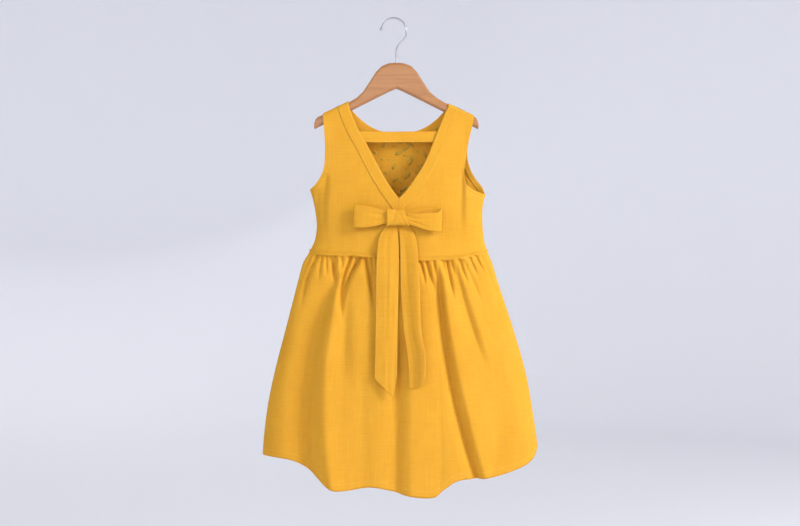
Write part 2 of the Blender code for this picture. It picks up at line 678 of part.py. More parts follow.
def hook():
    """The wire hook: a ball, the bend, a slight return and the shank in the wood."""
    middle = -(HOOK_RADIUS - WIRE / 2)
    points = []
    for step in range(BALL_STEPS):
        part = BALL_REACH * (2 * step / (BALL_STEPS - 1) - 1)
        size = sqrt(1 - part ** 2) * BALL_RADIUS / (WIRE / 2)
        turn = radians(HOOK_START) - part * BALL_RADIUS / HOOK_RADIUS
        points.append((turn, size if part < 0 else max(size, 1.0)))
    first = points[-1][0]
    for step in range(1, HOOK_STEPS + 1):
        points.append((first + (radians(HOOK_END) - first) * step / HOOK_STEPS, 1.0))
    places = [((HOOK_RADIUS * cos(turn), middle + HOOK_RADIUS * sin(turn)), size)
              for turn, size in points]
    bend_end = places[-1][0]
    neck = [places[-3][0], bend_end] + NECK_PATH
    for step in range(1, NECK_STEPS + 1):
        place = along(neck, step / NECK_STEPS)
        if place[1] < bend_end[1] - NECK_STEP:
            places.append((place, 1.0))
    places.append(((HANGER_X, HANGER[0].top - HOLE_DEPTH + GAP), 1.0))

    curve = bpy.data.curves.new("hanger_hook", "CURVE")
    curve.dimensions = "3D"
    curve.bevel_depth = WIRE / 2
    curve.bevel_resolution = 2
    curve.use_fill_caps = True
    line = curve.splines.new("POLY")
    line.points.add(len(places) - 1)
    for point, ((x, z), size) in zip(line.points, places):
        point.co = (x, 0, z, 1)
        point.radius = size
    return add_object("hanger_hook", curve, rack, steel)


for old in list(bpy.data.objects):
    bpy.data.objects.remove(old)
parts = bpy.data.collections.new("sundress_on_hanger")
cutters = bpy.data.collections.new("cutters")
bpy.context.scene.collection.children.link(parts)
bpy.context.scene.collection.children.link(cutters)
rack = bpy.data.objects.new("hanging_point", None)
dress = bpy.data.objects.new("dress", None)
for empty in (rack, dress):
    parts.objects.link(empty)
dress.parent = rack
dress.location.x = DRESS_X

linen = material("mustard_linen", (0.82, 0.42, 0.06), 0.85)
wood = material("beech", (0.50, 0.27, 0.13), 0.45)
steel = material("chrome", (0.75, 0.75, 0.76), 0.12, 1.0)

bodice_panel("bodice_back", -1)
bodice_panel("bodice_front", 1)
skirt_panel("skirt_back", -1, BACK_HEM, BACK_FOLDS, BACK_ROWS)
skirt_panel("skirt_front", 1, FRONT_HEM, FRONT_FOLDS, FRONT_ROWS)
neck_band("neck_band_left", -1)
neck_band("neck_band_right", 1)
for panel_side, panel in ((-1, "back"), (1, "front")):
    armhole_facing(f"armhole_facing_{panel}_left", panel_side, -1)
    armhole_facing(f"armhole_facing_{panel}_right", panel_side, 1)
back_strap()
for loop_name, loop_row in LOOPS.items():
    bow_loop(loop_name, loop_row)
bow_knot()
for tail_name in TAILS:
    tie_tail(tail_name)
hanger()
hook()
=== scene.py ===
from collections import namedtuple
from math import cos, pi, radians, sin

import bmesh
import bpy
import numpy as np
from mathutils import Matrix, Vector


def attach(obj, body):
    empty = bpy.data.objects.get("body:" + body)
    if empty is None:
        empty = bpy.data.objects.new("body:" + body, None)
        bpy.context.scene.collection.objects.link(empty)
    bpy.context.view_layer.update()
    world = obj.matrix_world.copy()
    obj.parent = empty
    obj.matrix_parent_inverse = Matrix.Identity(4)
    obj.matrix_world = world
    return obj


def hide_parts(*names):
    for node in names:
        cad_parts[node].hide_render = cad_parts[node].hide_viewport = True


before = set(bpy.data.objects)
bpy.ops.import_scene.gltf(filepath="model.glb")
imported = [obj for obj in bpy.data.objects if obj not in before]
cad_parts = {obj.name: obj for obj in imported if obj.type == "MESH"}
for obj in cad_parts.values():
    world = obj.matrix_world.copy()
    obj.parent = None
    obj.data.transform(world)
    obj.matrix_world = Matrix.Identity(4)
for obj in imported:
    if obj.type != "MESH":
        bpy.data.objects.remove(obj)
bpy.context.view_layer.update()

# Bodice
# The back with its deep V and the front with its scoop neck are cut from washed mustard linen.
# They are sewn to each other at the shoulders and sides and hang over the arms of the hanger.
LINEN = 0.0009            # thickness of the cloth
SEAM = 0.0004             # from the middle plane to a side seam
CREASE_STEP = 0.0004      # for reading the slope of the cloth
SLUB_YELLOW = (0.60, 0.280, 0.019)
SLUB_PALE = (0.73, 0.385, 0.040)
THREAD_PITCH = 0.00085    # of the weave

# Where the garment hangs on the wood
HANGER_X = 0.0052
DRESS_X = 0.0093
SHOULDER_IN = 0.088
SHOULDER_OUT = 0.146
SHOULDER_TOP = -0.1535
SHOULDER_FALL = 0.478
WOOD_HALF = 0.0060        # half the thickness of the wood
ARCH = 0.0074             # bend of the cloth over the wood
SHOULDER_EASE = 0.120     # below the bend, where the cloth has its full depth
SHOULDER_SEAM = radians(38)

Section = namedtuple("Section", "height left right back front")
SECTION_POWER = 2.3
SECTIONS = [
    Section(-0.890, 0.2522, 0.2598, 0.065, 0.057),
    Section(-0.800, 0.2508, 0.2578, 0.061, 0.054),
    Section(-0.720, 0.2424, 0.2468, 0.057, 0.051),
    Section(-0.650, 0.2282, 0.2338, 0.053, 0.048),
    Section(-0.570, 0.2075, 0.2108, 0.048, 0.044),
    Section(-0.481, 0.1845, 0.1815, 0.0395, 0.037),
    Section(-0.451, 0.176, 0.1725, 0.0345, 0.033),
    Section(-0.430, 0.164, 0.164, 0.030, 0.029),
    Section(-0.409, 0.1545, 0.158, 0.029, 0.028),
    Section(-0.381, 0.151, 0.155, 0.028, 0.027),
    Section(-0.345, 0.1555, 0.1555, 0.027, 0.026),
    Section(-0.318, 0.163, 0.163, 0.025, 0.024),
    Section(-0.250, 0.190, 0.190, 0.018, 0.018),
    Section(-0.150, 0.200, 0.200, 0.009, 0.009),
]

# Edges of the half panels from the bottom up: distance from the centre line and height
Edge = namedtuple("Edge", "out height")
BACK_NECK = {
    -1: [Edge(0.000, -0.3336), Edge(0.0176, -0.309), Edge(0.0361, -0.2775),
         Edge(0.062, -0.2276), Edge(0.0736, -0.208), Edge(0.088, -0.174)],
    1: [Edge(0.000, -0.3336), Edge(0.0113, -0.3228), Edge(0.0302, -0.2969),
        Edge(0.049, -0.2664), Edge(0.0727, -0.208), Edge(0.0865, -0.174)],
}
FRONT_NECK = [Edge(0.000, -0.209), Edge(0.031, -0.2065), Edge(0.052, -0.198),
              Edge(0.070, -0.185), Edge(0.084, -0.171)]
NECK_TOP = 0.0925
BACK_ARMHOLE = {
    -1: [Edge(0.163, -0.316), Edge(0.151, -0.3035), Edge(0.1385, -0.280),
         Edge(0.1355, -0.244), Edge(0.137, -0.212)],
    1: [Edge(0.160, -0.325), Edge(0.149, -0.3215), Edge(0.136, -0.316), Edge(0.1245, -0.305),
        Edge(0.1205, -0.290), Edge(0.1235, -0.262), Edge(0.130, -0.224)],
}
FRONT_ARMHOLE = {
    -1: [Edge(0.163, -0.316), Edge(0.148, -0.300), Edge(0.134, -0.277),
         Edge(0.128, -0.252), Edge(0.131, -0.218)],
    1: [Edge(0.160, -0.325), Edge(0.155, -0.310), Edge(0.145, -0.297), Edge(0.134, -0.277),
        Edge(0.128, -0.252), Edge(0.131, -0.218)],
}
ARM_TOP = 0.1395

# Waist seam: share of the half width and height
WAIST = [(-1.0, -0.430), (-0.75, -0.4345), (-0.45, -0.4370), (-0.2, -0.4385), (0.05, -0.4410),
         (0.25, -0.4445), (0.5, -0.4435), (0.75, -0.4385), (0.93, -0.4320), (1.0, -0.430)]

# Creases: heights, x at three heights, depth, widths to the left and right, softness of the line,
# and the shares of the length over which it sets in and fades. A negative depth is a ridge.
Crease = namedtuple("Crease", "top bottom x_top x_middle x_bottom depth left right soft onset fade")
BODICE_BACK_CREASES = [
    Crease(-0.285, -0.406, -0.1307, -0.1369, -0.1371, 0.0032, 0.0090, 0.0035, 0.35, 0.10, 0.45),
    Crease(-0.292, -0.409, -0.1234, -0.1277, -0.1271, -0.0016, 0.0050, 0.0140, 0.8, 0.3, 0.4),
    Crease(-0.312, -0.420, -0.1468, -0.1497, -0.1499, 0.0026, 0.0050, 0.0030, 0.4, 0.15, 0.5),
    Crease(-0.274, -0.402, 0.1172, 0.1171, 0.1152, 0.0034, 0.0100, 0.0030, 0.35, 0.15, 0.45),
    Crease(-0.281, -0.409, 0.1244, 0.1250, 0.1253, -0.0022, 0.0035, 0.0120, 0.8, 0.3, 0.4),
    Crease(-0.330, -0.436, -0.0950, -0.1010, -0.1080, 0.0012, 0.0120, 0.0080, 1.0, 0.3, 0.4),
    Crease(-0.345, -0.441, 0.0850, 0.0880, 0.0930, 0.0012, 0.0120, 0.0080, 1.0, 0.3, 0.4),
]
BODICE_FRONT_CREASES = [
    Crease(-0.290, -0.412, 0.1270, 0.1330, 0.1345, 0.0034, 0.0040, 0.0100, 0.35, 0.15, 0.45),
    Crease(-0.300, -0.405, 0.1200, 0.1240, 0.1250, -0.0018, 0.0120, 0.0050, 0.8, 0.3, 0.4),
    Crease(-0.300, -0.418, -0.1200, -0.1260, -0.1250, 0.0030, 0.0100, 0.0035, 0.35, 0.15, 0.45),
    Crease(-0.255, -0.400, -0.0600, -0.0700, -0.0750, 0.0010, 0.0150, 0.0100, 1.0, 0.3, 0.4),
    Crease(-0.260, -0.420, 0.0500, 0.0580, 0.0700, 0.0010, 0.0100, 0.0150, 1.0, 0.3, 0.4),
]

LOWER_ROWS = 5
UPPER_ROWS = 9
CENTRE_ROWS = 4
LOWER_BOW = 3.0
SIDE_CROWDING = 0.8
ARM_CROWDING = 1.45
BODICE_COLUMNS = 60
FINE = 8                  # rows of the fine cloth for each row above


def smooth(share):
    """Ease from 0 to 1."""
    share = np.clip(share, 0.0, 1.0)
    return share * share * (3 - 2 * share)


def read(rows, place, column):
    """Smoothly read one column of a table at places along its first column."""
    table = np.array([tuple(row) for row in rows], dtype=float)
    if table[0, 0] > table[-1, 0]:
        table = table[::-1]
    at = table[:, 0]
    value = table[:, column]
    low = np.maximum(np.arange(len(at)) - 1, 0)
    high = np.minimum(np.arange(len(at)) + 1, len(at) - 1)
    slope = (value[high] - value[low]) / (at[high] - at[low])
    place = np.clip(place, at[0], at[-1])
    i = np.clip(np.searchsorted(at, place) - 1, 0, len(at) - 2)
    span = at[i + 1] - at[i]
    share = (place - at[i]) / span
    square = share * share
    cube = square * share
    return ((2 * cube - 3 * square + 1) * value[i] + (cube - 2 * square + share) * span * slope[i]
            + (3 * square - 2 * cube) * value[i + 1] + (cube - square) * span * slope[i + 1])


def along(points, share):
    """Points at shares of the length of a smooth path through 2D points."""
    lengths = [0.0]
    for near, far in zip(points, points[1:]):
        lengths.append(lengths[-1] + ((far[0] - near[0]) ** 2 + (far[1] - near[1]) ** 2) ** 0.5)
    rows = [(length, *point) for length, point in zip(lengths, points)]
    place = np.asarray(share) * lengths[-1]
    return read(rows, place, 1), read(rows, place, 2)


def half_width(x, height):
    """Half width of the garment at a height, on the side where x lies."""
    return np.where(np.asarray(x) < 0, read(SECTIONS, height, 1), read(SECTIONS, height, 2))


def body_depth(side, x, height):
    """Depth of the plain body: side is -1 for the back and 1 for the front."""
    reach = np.minimum(1.0, np.abs(x) / half_width(x, height))
    deep = read(SECTIONS, height, 3 if side < 0 else 4)
    return SEAM + deep * (1 - reach ** SECTION_POWER) ** (1 / SECTION_POWER)


def shoulder_wood(out):
    """Height of the wood's straight top edge."""
    return SHOULDER_TOP - SHOULDER_FALL * (out - SHOULDER_IN)


def spring(x):
    """Height where the cloth starts to bend over the hanger."""
    out = np.clip(np.abs(x + DRESS_X - HANGER_X), SHOULDER_IN, SHOULDER_OUT)
    return shoulder_wood(out) - WOOD_HALF


def crease_height(creases, x, height):
    """Sum of a table of creases at places, outwards where it is above 0."""
    total = np.zeros(np.broadcast(x, height).shape)
    for crease in creases:
        share = (crease.top - height) / (crease.top - crease.bottom)
        fade = smooth(share / crease.onset) if crease.onset else (share > 0) * 1.0
        if crease.fade:
            fade = fade * smooth((1 - share) / crease.fade)
        centre = ((2 * share - 1) * (share - 1) * crease.x_top
                  + 4 * share * (1 - share) * crease.x_middle
                  + share * (2 * share - 1) * crease.x_bottom)
        off = x - centre
        off = off / np.where(off < 0, crease.left, crease.right)
        total -= crease.depth * fade * np.exp(crease.soft - np.sqrt(off ** 2 + crease.soft ** 2))
    return total


def drape(side, x, height, creases):
    """Where points of a bodice panel hang. Above the spring line the height is cloth length."""
    start = spring(x)
    angle = np.maximum(height - start, 0) / ARCH
    hang = smooth((start - height) / SHOULDER_EASE)
    depth = ARCH + (body_depth(side, x, np.minimum(height, start)) - ARCH) * hang
    depth = depth + crease_height(creases, x, height) * hang
    depth = np.where(height > start, ARCH * np.cos(angle), depth)
    rise = np.where(height > start, start + ARCH * np.sin(angle), height)
    return np.stack([x + DRESS_X, side * depth, rise], axis=-1)


def off_cloth(hang, side, x, height, creases, lift):
    """Points of a panel, moved off it by a distance, and the directions that they were moved in."""
    place = hang(side, x, height, creases)
    across = hang(side, x + CREASE_STEP, height, creases) - place
    upward = hang(side, x, height + CREASE_STEP, creases) - place
    normal = np.cross(across, upward) * -side
    normal /= np.linalg.norm(normal, axis=-1, keepdims=True)
    return place + normal * np.asarray(lift)[..., None], normal


def bodice_cloth(side, x, height, lift=0.0):
    """The same on a bodice panel, outwards where the distance is above 0."""
    creases = BODICE_BACK_CREASES if side < 0 else BODICE_FRONT_CREASES
    return off_cloth(drape, side, x, height, creases, lift)


def neck_path(side, hand):
    """Neck edge of a half panel, up to the spring line."""
    points = BACK_NECK[hand] if side < 0 else FRONT_NECK
    return points + [Edge(NECK_TOP, float(spring(hand * NECK_TOP)))]


def arm_path(side, hand):
    """Armhole edge of a half panel, up to the spring line."""
    points = (BACK_ARMHOLE if side < 0 else FRONT_ARMHOLE)[hand]
    first = Edge(float(half_width(hand, points[0].height)), points[0].height)
    return [first] + points[1:] + [Edge(ARM_TOP, float(spring(hand * ARM_TOP)))]


def waist(share):
    """Height of the waist seam at shares of the half width."""
    return read(WAIST, share, 1)


class Field:
    """A number that varies over a surface. Sums and products of fields add their nodes."""

    def __init__(self, tree, socket):
        self.tree = tree
        self.socket = socket

    def math(self, operation, *values):
        node = self.tree.nodes.new("ShaderNodeMath")
        node.operation = operation
        for place, value in zip(node.inputs, values):
            if isinstance(value, Field):
                self.tree.links.new(value.socket, place)
            else:
                place.default_value = value
        return Field(self.tree, node.outputs[0])

    def __add__(self, other):
        return self.math("ADD", self, other)

    __radd__ = __add__

    def __sub__(self, other):
        return self.math("SUBTRACT", self, other)

    def __rsub__(self, other):
        return self.math("SUBTRACT", other, self)

    def __mul__(self, other):
        return self.math("MULTIPLY", self, other)

    __rmul__ = __mul__

    def clamp(self, low, high):
        return self.math("MINIMUM", self.math("MAXIMUM", self, low), high)

    def wave(self):
        return self.math("SINE", self)


def add_node(tree, kind, inputs, output=0, **settings):
    """One node: settings first, then the values and links of its sockets."""
    node = tree.nodes.new(kind)
    for name, value in settings.items():
        setattr(node, name, value)
    for name, value in inputs.items():
        socket = node.inputs[name]
        if isinstance(value, Field):
            tree.links.new(value.socket, socket)
        elif isinstance(value, tuple) and len(value) == 3 and socket.type == "RGBA":
            socket.default_value = (*value, 1.0)
        else:
            socket.default_value = value
    return Field(tree, node.outputs[output])


def new_finish(name, roughness, **constants):
    """A material with its tree and its shader, and the values that don't vary."""
    made = bpy.data.materials.new(name)
    made.use_nodes = True
    shader = made.node_tree.nodes["Principled BSDF"]
    shader.inputs["Roughness"].default_value = roughness
    for label, value in constants.items():
        shader.inputs[label.replace("_", " ")].default_value = value
    return made, made.node_tree, shader


def linen_finish():
    """Plain woven linen: slubs both ways, a faint mottle of the dye and a dry, matt face."""
    made, tree, shader = new_finish("mustard_linen", 0.9, Specular_IOR_Level=0.12,
                                    Subsurface_Weight=0.3, Subsurface_Radius=(1.0, 0.36, 0.04),
                                    Subsurface_Scale=0.0016)
    cut = add_node(tree, "ShaderNodeUVMap", {}, uv_map="cut")
    u = add_node(tree, "ShaderNodeSeparateXYZ", {"Vector": cut}, 0)
    v = add_node(tree, "ShaderNodeSeparateXYZ", {"Vector": cut}, 1)

    def slubs(wide, high, detail):
        stretched = add_node(tree, "ShaderNodeCombineXYZ", {"X": u * wide, "Y": v * high})
        return add_node(tree, "ShaderNodeTexNoise",
                        {"Vector": stretched, "Scale": 1.0, "Detail": detail, "Roughness": 0.6})

    weft = slubs(26.0, 620.0, 3.0)
    warp = slubs(520.0, 16.0, 3.0)
    mottle = slubs(20.0, 12.0, 3.0)
    turn = 2 * pi / THREAD_PITCH
    wobble = slubs(260.0, 260.0, 1.0) * 2.4
    weave = (u * turn + wobble).wave() * (v * turn + wobble).wave()
    tone = (weft * 0.9 + warp * 0.9 + mottle * 0.7 + weave * 0.05 - 0.75).clamp(0.0, 1.0)
    colour = add_node(tree, "ShaderNodeMix", {0: tone, 6: SLUB_YELLOW, 7: SLUB_PALE}, 2,
                      data_type="RGBA")
    tree.links.new(colour.socket, shader.inputs["Base Color"])
    rumple = slubs(38.0, 30.0, 2.0)
    height = weave * 0.10 + weft * 0.30 + warp * 0.25 + rumple
    bump = add_node(tree, "ShaderNodeBump", {"Height": height, "Strength": 0.5, "Distance": 0.0006})
    tree.links.new(bump.socket, shader.inputs["Normal"])
    return made


def from_points(name, points, faces, finish):
    """A smooth object from points and faces."""
    mesh = bpy.data.meshes.new(name)
    mesh.from_pydata(points, [], faces)
    mesh.materials.append(finish)
    mesh.shade_smooth()
    made = bpy.data.objects.new(name, mesh)
    bpy.context.scene.collection.objects.link(made)
    return made


def sheet(name, patches):
    """A linen piece with its wall, from patches: points and both their flat places."""
    points = []
    flats = []
    faces = []
    for place, flat_across, flat_up in patches:
        rows, columns = place.shape[:2]
        first = len(points)
        points.extend(place.reshape(-1, 3).tolist())
        flats.extend(zip(flat_across.ravel().tolist(), flat_up.ravel().tolist()))
        index = first + np.arange(rows * columns).reshape(rows, columns)
        quads = np.stack([index[:-1, :-1], index[:-1, 1:], index[1:, 1:], index[1:, :-1]], axis=-1)
        faces.extend(quads.reshape(-1, 4).tolist())
    made = from_points(name, points, faces, linen)
    mesh = made.data
    layer = mesh.uv_layers.new(name="cut")
    corners = np.empty(len(mesh.loops), dtype=np.int32)
    mesh.loops.foreach_get("vertex_index", corners)
    layer.data.foreach_set("uv", np.array(flats)[corners].ravel())
    work = bmesh.new()
    work.from_mesh(mesh)
    bmesh.ops.remove_doubles(work, verts=work.verts, dist=0.00001)
    work.to_mesh(mesh)
    work.free()
    bpy.ops.object.select_all(action="DESELECT")
    bpy.context.view_layer.objects.active = made
    made.select_set(True)
    wall = made.modifiers.new("wall", "SOLIDIFY")
    wall.thickness = LINEN
    wall.offset = 0.0
    bpy.ops.object.modifier_apply(modifier=wall.name)
    return made


def kept(made, *replaced):
    """Put a piece on the one body, in place of its solid where it has one."""
    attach(made, "root")
    if replaced:
        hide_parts(*replaced)
    return made


def cloth(node, *patches):
    """The linen that stands for one solid."""
    return kept(sheet(node + "_linen", patches), node)


def bodice_half(side, hand):
    """Points and flat places of one half panel, in fine rows."""
    neck = neck_path(side, hand)
    arm = arm_path(side, hand)
    opening = BACK_NECK[hand][0].height
    if side < 0:
        bends = [0.0, SHOULDER_SEAM]
    else:
        end = pi - SHOULDER_SEAM - (0.0003 + SEAM) / ARCH
        bends = [end * step / 4 for step in range(5)]
    last = LOWER_ROWS + UPPER_ROWS
    rows = np.linspace(0, last + len(bends) - 1, (last + len(bends) - 1) * FINE + 1)
    share = np.linspace(0, 1, BODICE_COLUMNS + 1)
    share = (1 - SIDE_CROWDING) * share + SIDE_CROWDING * np.sin(share * pi / 2)
    # lower rows, from the waist up to the opening
    low = np.minimum(rows, LOWER_ROWS) / LOWER_ROWS
    base = waist(0.0)
    inner = base + (opening - base) * low
    step = np.clip(rows - LOWER_ROWS, 0, UPPER_ROWS)
    arm_out, arm_height = along(arm, (step / UPPER_ROWS) ** ARM_CROWDING)
    if side < 0:
        neck_out, neck_height = along(neck, step / UPPER_ROWS)
    else:
        neck_out, neck_height = along(neck, np.maximum(step - CENTRE_ROWS, 0) / (UPPER_ROWS - CENTRE_ROWS))
        centre = opening + (neck[0].height - opening) * step / CENTRE_ROWS
        neck_out = np.where(step <= CENTRE_ROWS, 0.0, neck_out)
        neck_height = np.where(step <= CENTRE_ROWS, centre, neck_height)
    side_low = waist(1.0) + (arm[0].height - waist(1.0)) * low
    outer_out = np.where(rows <= LOWER_ROWS, half_width(hand, side_low), arm_out)
    outer_height = np.where(rows <= LOWER_ROWS, side_low, arm_height)
    inner_out = np.where(rows <= LOWER_ROWS, 0.0, neck_out)
    inner_height = np.where(rows <= LOWER_ROWS, inner, neck_height)
    bow = 2.0 + LOWER_BOW * low - (1.0 + LOWER_BOW) * smooth(rows - LOWER_ROWS)
    x = hand * (inner_out[:, None] + (outer_out - inner_out)[:, None] * share[None, :])
    height = (inner_height[:, None]
              + (outer_height - inner_height)[:, None] * share[None, :] ** bow[:, None])
    # the waist seam's own line, fading upwards
    seam = waist(x / half_width(x, height)) - (base + (waist(1.0) - base) * share[None, :] ** 2)
    height = height + seam * smooth(1 - low)[:, None]
    height = np.where(rows[:, None] >= last, spring(x), height)
    extra = ARCH * np.interp(rows - last, range(len(bends)), bends)
    height = height + np.where(rows[:, None] > last, extra[:, None], 0.0)
    place, _ = bodice_cloth(side, x, height)
    patch = (place, x, height)
    return patch if hand > 0 else tuple(part[:, ::-1] for part in patch)


linen = linen_finish()
for panel_side, panel_name, cut_area in ((-1, "bodice_back", 0.072), (1, "bodice_front", 0.086)):
    panel = cloth(panel_name, bodice_half(panel_side, -1), bodice_half(panel_side, 1))

# Skirt
# Two wide linen panels, gathered by running threads and sewn to the bodice. The back falls longer
# at its middle. The cloth fans out below the seam in short creases and a few deep folds.
SKIRT_COLUMNS = 330
SKIRT_ROWS = 120
SIDE_ANGLE = radians(72)
SKIRT_FLAT_WIDTH = 0.60
SKIRT_CROWDING = 1.35     # of the rows towards the seam
SKIRT_GAP = 0.0007        # below the bodice's own edge
SKIRT_TUCK = 0.005        # allowance that lies inside the bodice
TUCK_TURN = 0.0006        # height over which it turns inside
TUCK_INSIDE = 0.0016
TUCK_SIDE = 0.03          # share of the half width over which that eases off at the sides
SEAM_PUFF = 0.0020        # how far the gathers swell out just below the seam
SEAM_BUMP = 0.0078        # from one fine gather to the next, right below the seam
SEAM_UNEVEN = 0.60
SEAM_PUFF_REACH = 0.012

Hem = namedtuple("Hem", "reach height")
BACK_HEM = [
    Hem(-1.00, -0.804), Hem(-0.78, -0.8115), Hem(-0.64, -0.829), Hem(-0.50, -0.860),
    Hem(-0.40, -0.8635), Hem(-0.20, -0.8575), Hem(-0.04, -0.865), Hem(0.08, -0.873),
    Hem(0.25, -0.875), Hem(0.32, -0.861), Hem(0.42, -0.846), Hem(0.63, -0.8415),
    Hem(0.84, -0.8265), Hem(0.95, -0.811), Hem(1.00, -0.790),
]
FRONT_HEM = [
    Hem(-1.00, -0.804), Hem(-0.60, -0.822), Hem(-0.20, -0.838), Hem(0.20, -0.842),
    Hem(0.60, -0.826), Hem(1.00, -0.790),
]
BACK_FOLDS = [
    Crease(-0.450, -0.851, -0.1033, -0.1619, -0.1599, 0.0145, 0.0260, 0.0090, 0.5, 0.12, 0),
    Crease(-0.450, -0.854, -0.0978, -0.1329, -0.1219, -0.0110, 0.0120, 0.0140, 0.8, 0.20, 0),
    Crease(-0.473, -0.700, -0.0849, -0.0981, -0.0953, 0.0045, 0.0120, 0.0070, 0.8, 0.3, 0.4),
    Crease(-0.482, -0.736, -0.0813, -0.0782, -0.0734, -0.0030, 0.0090, 0.0160, 1.0, 0.3, 0.4),
    Crease(-0.492, -0.811, -0.1506, -0.1769, -0.1836, 0.0040, 0.0220, 0.0160, 1.0, 0.3, 0),
    Crease(-0.519, -0.799, -0.1615, -0.1997, -0.2126, -0.0040, 0.0200, 0.0220, 1.0, 0.3, 0),
    Crease(-0.592, -0.858, -0.0719, -0.0653, -0.0623, 0.0025, 0.0120, 0.0090, 0.8, 0.3, 0),
    Crease(-0.519, -0.869, 0.0028, -0.0025, -0.0045, 0.0090, 0.0160, 0.0080, 0.6, 0.35, 0),
    Crease(-0.555, -0.874, 0.0192, 0.0227, 0.0244, -0.0050, 0.0100, 0.0220, 1.0, 0.35, 0),
    Crease(-0.450, -0.833, 0.0732, 0.0931, 0.1402, 0.0135, 0.0085, 0.0038, 0.35, 0.10, 0),
    Crease(-0.450, -0.840, 0.0777, 0.1092, 0.1583, -0.0080, 0.0070, 0.0220, 0.8, 0.15, 0),
    Crease(-0.610, -0.865, 0.0701, 0.0759, 0.0768, 0.0016, 0.0080, 0.0050, 0.4, 0.4, 0),
    Crease(-0.446, -0.660, 0.1024, 0.1296, 0.1663, 0.0070, 0.0110, 0.0050, 0.5, 0.08, 0.45),
    Crease(-0.450, -0.660, 0.1088, 0.1424, 0.1791, -0.0035, 0.0060, 0.0160, 0.8, 0.15, 0.4),
    Crease(-0.444, -0.541, 0.1183, 0.1401, 0.1578, 0.0040, 0.0080, 0.0035, 0.4, 0.05, 0.5),
    Crease(-0.434, -0.559, 0.1518, 0.1777, 0.1996, 0.0045, 0.0060, 0.0035, 0.4, 0.05, 0.5),
    Crease(-0.664, -0.835, 0.1845, 0.1808, 0.1691, 0.0040, 0.0220, 0.0140, 1.0, 0.5, 0),
    Crease(-0.610, -0.808, 0.2121, 0.2198, 0.2272, -0.0040, 0.0180, 0.0180, 1.0, 0.4, 0),
]
# The short creases of the gathers
Gather = namedtuple("Gather", "top bottom x_top x_middle x_bottom depth left right fade", defaults=(0.6,))
BACK_GATHERS = [
    Gather(-0.435, -0.501, -0.1466, -0.1610, -0.1661, 0.0032, 0.0050, 0.0026),
    Gather(-0.432, -0.490, -0.1591, -0.1711, -0.1799, 0.0026, 0.0040, 0.0030),
    Gather(-0.436, -0.468, -0.1389, -0.1420, -0.1434, 0.0018, 0.0040, 0.0022),
    Gather(-0.437, -0.464, -0.1316, -0.1316, -0.1306, 0.0016, 0.0040, 0.0022),
    Gather(-0.438, -0.479, -0.1241, -0.1192, -0.1178, 0.0024, 0.0050, 0.0022, 0.5),
    Gather(-0.437, -0.464, -0.1152, -0.1165, -0.1179, 0.0022, 0.0040, 0.0022),
    Gather(-0.438, -0.457, -0.1042, -0.1033, -0.1051, 0.0018, 0.0040, 0.0022),
    Gather(-0.437, -0.512, -0.0843, -0.0961, -0.0949, 0.0036, 0.0050, 0.0026),
    Gather(-0.439, -0.513, -0.0680, -0.0857, -0.0885, 0.0038, 0.0050, 0.0028),
    Gather(-0.439, -0.461, -0.0759, -0.0784, -0.0850, 0.0016, 0.0040, 0.0022),
    Gather(-0.440, -0.504, -0.0609, -0.0537, -0.0511, 0.0036, 0.0040, 0.0026),
    Gather(-0.440, -0.475, -0.0493, -0.0471, -0.0466, 0.0020, 0.0040, 0.0022),
    Gather(-0.440, -0.490, -0.0356, -0.0356, -0.0356, 0.0024, 0.0050, 0.0026),
    Gather(-0.440, -0.482, -0.0228, -0.0251, -0.0265, 0.0026, 0.0050, 0.0026),
    Gather(-0.441, -0.490, -0.0082, -0.0081, -0.0073, 0.0026, 0.0050, 0.0026),
    Gather(-0.443, -0.497, 0.0064, 0.0066, 0.0073, 0.0028, 0.0050, 0.0026),
    Gather(-0.445, -0.490, 0.0211, 0.0235, 0.0247, 0.0024, 0.0050, 0.0026),
    Gather(-0.447, -0.477, 0.0388, 0.0432, 0.0448, 0.0026, 0.0040, 0.0024),
    Gather(-0.447, -0.484, 0.0521, 0.0564, 0.0631, 0.0032, 0.0040, 0.0024),
    Gather(-0.446, -0.470, 0.0640, 0.0664, 0.0686, 0.0018, 0.0035, 0.0022),
    Gather(-0.446, -0.497, 0.0885, 0.0932, 0.0974, 0.0034, 0.0040, 0.0024),
    Gather(-0.445, -0.468, 0.0805, 0.0830, 0.0850, 0.0018, 0.0035, 0.0022),
    Gather(-0.445, -0.468, 0.0957, 0.0989, 0.1033, 0.0016, 0.0035, 0.0022),
    Gather(-0.443, -0.475, 0.1112, 0.1166, 0.1225, 0.0020, 0.0035, 0.0022),
    Gather(-0.440, -0.466, 0.1304, 0.1359, 0.1417, 0.0018, 0.0035, 0.0022),
    Gather(-0.437, -0.461, 0.1418, 0.1477, 0.1536, 0.0022, 0.0035, 0.0022),
    Gather(-0.431, -0.468, 0.1606, 0.1691, 0.1782, 0.0022, 0.0035, 0.0022),
]
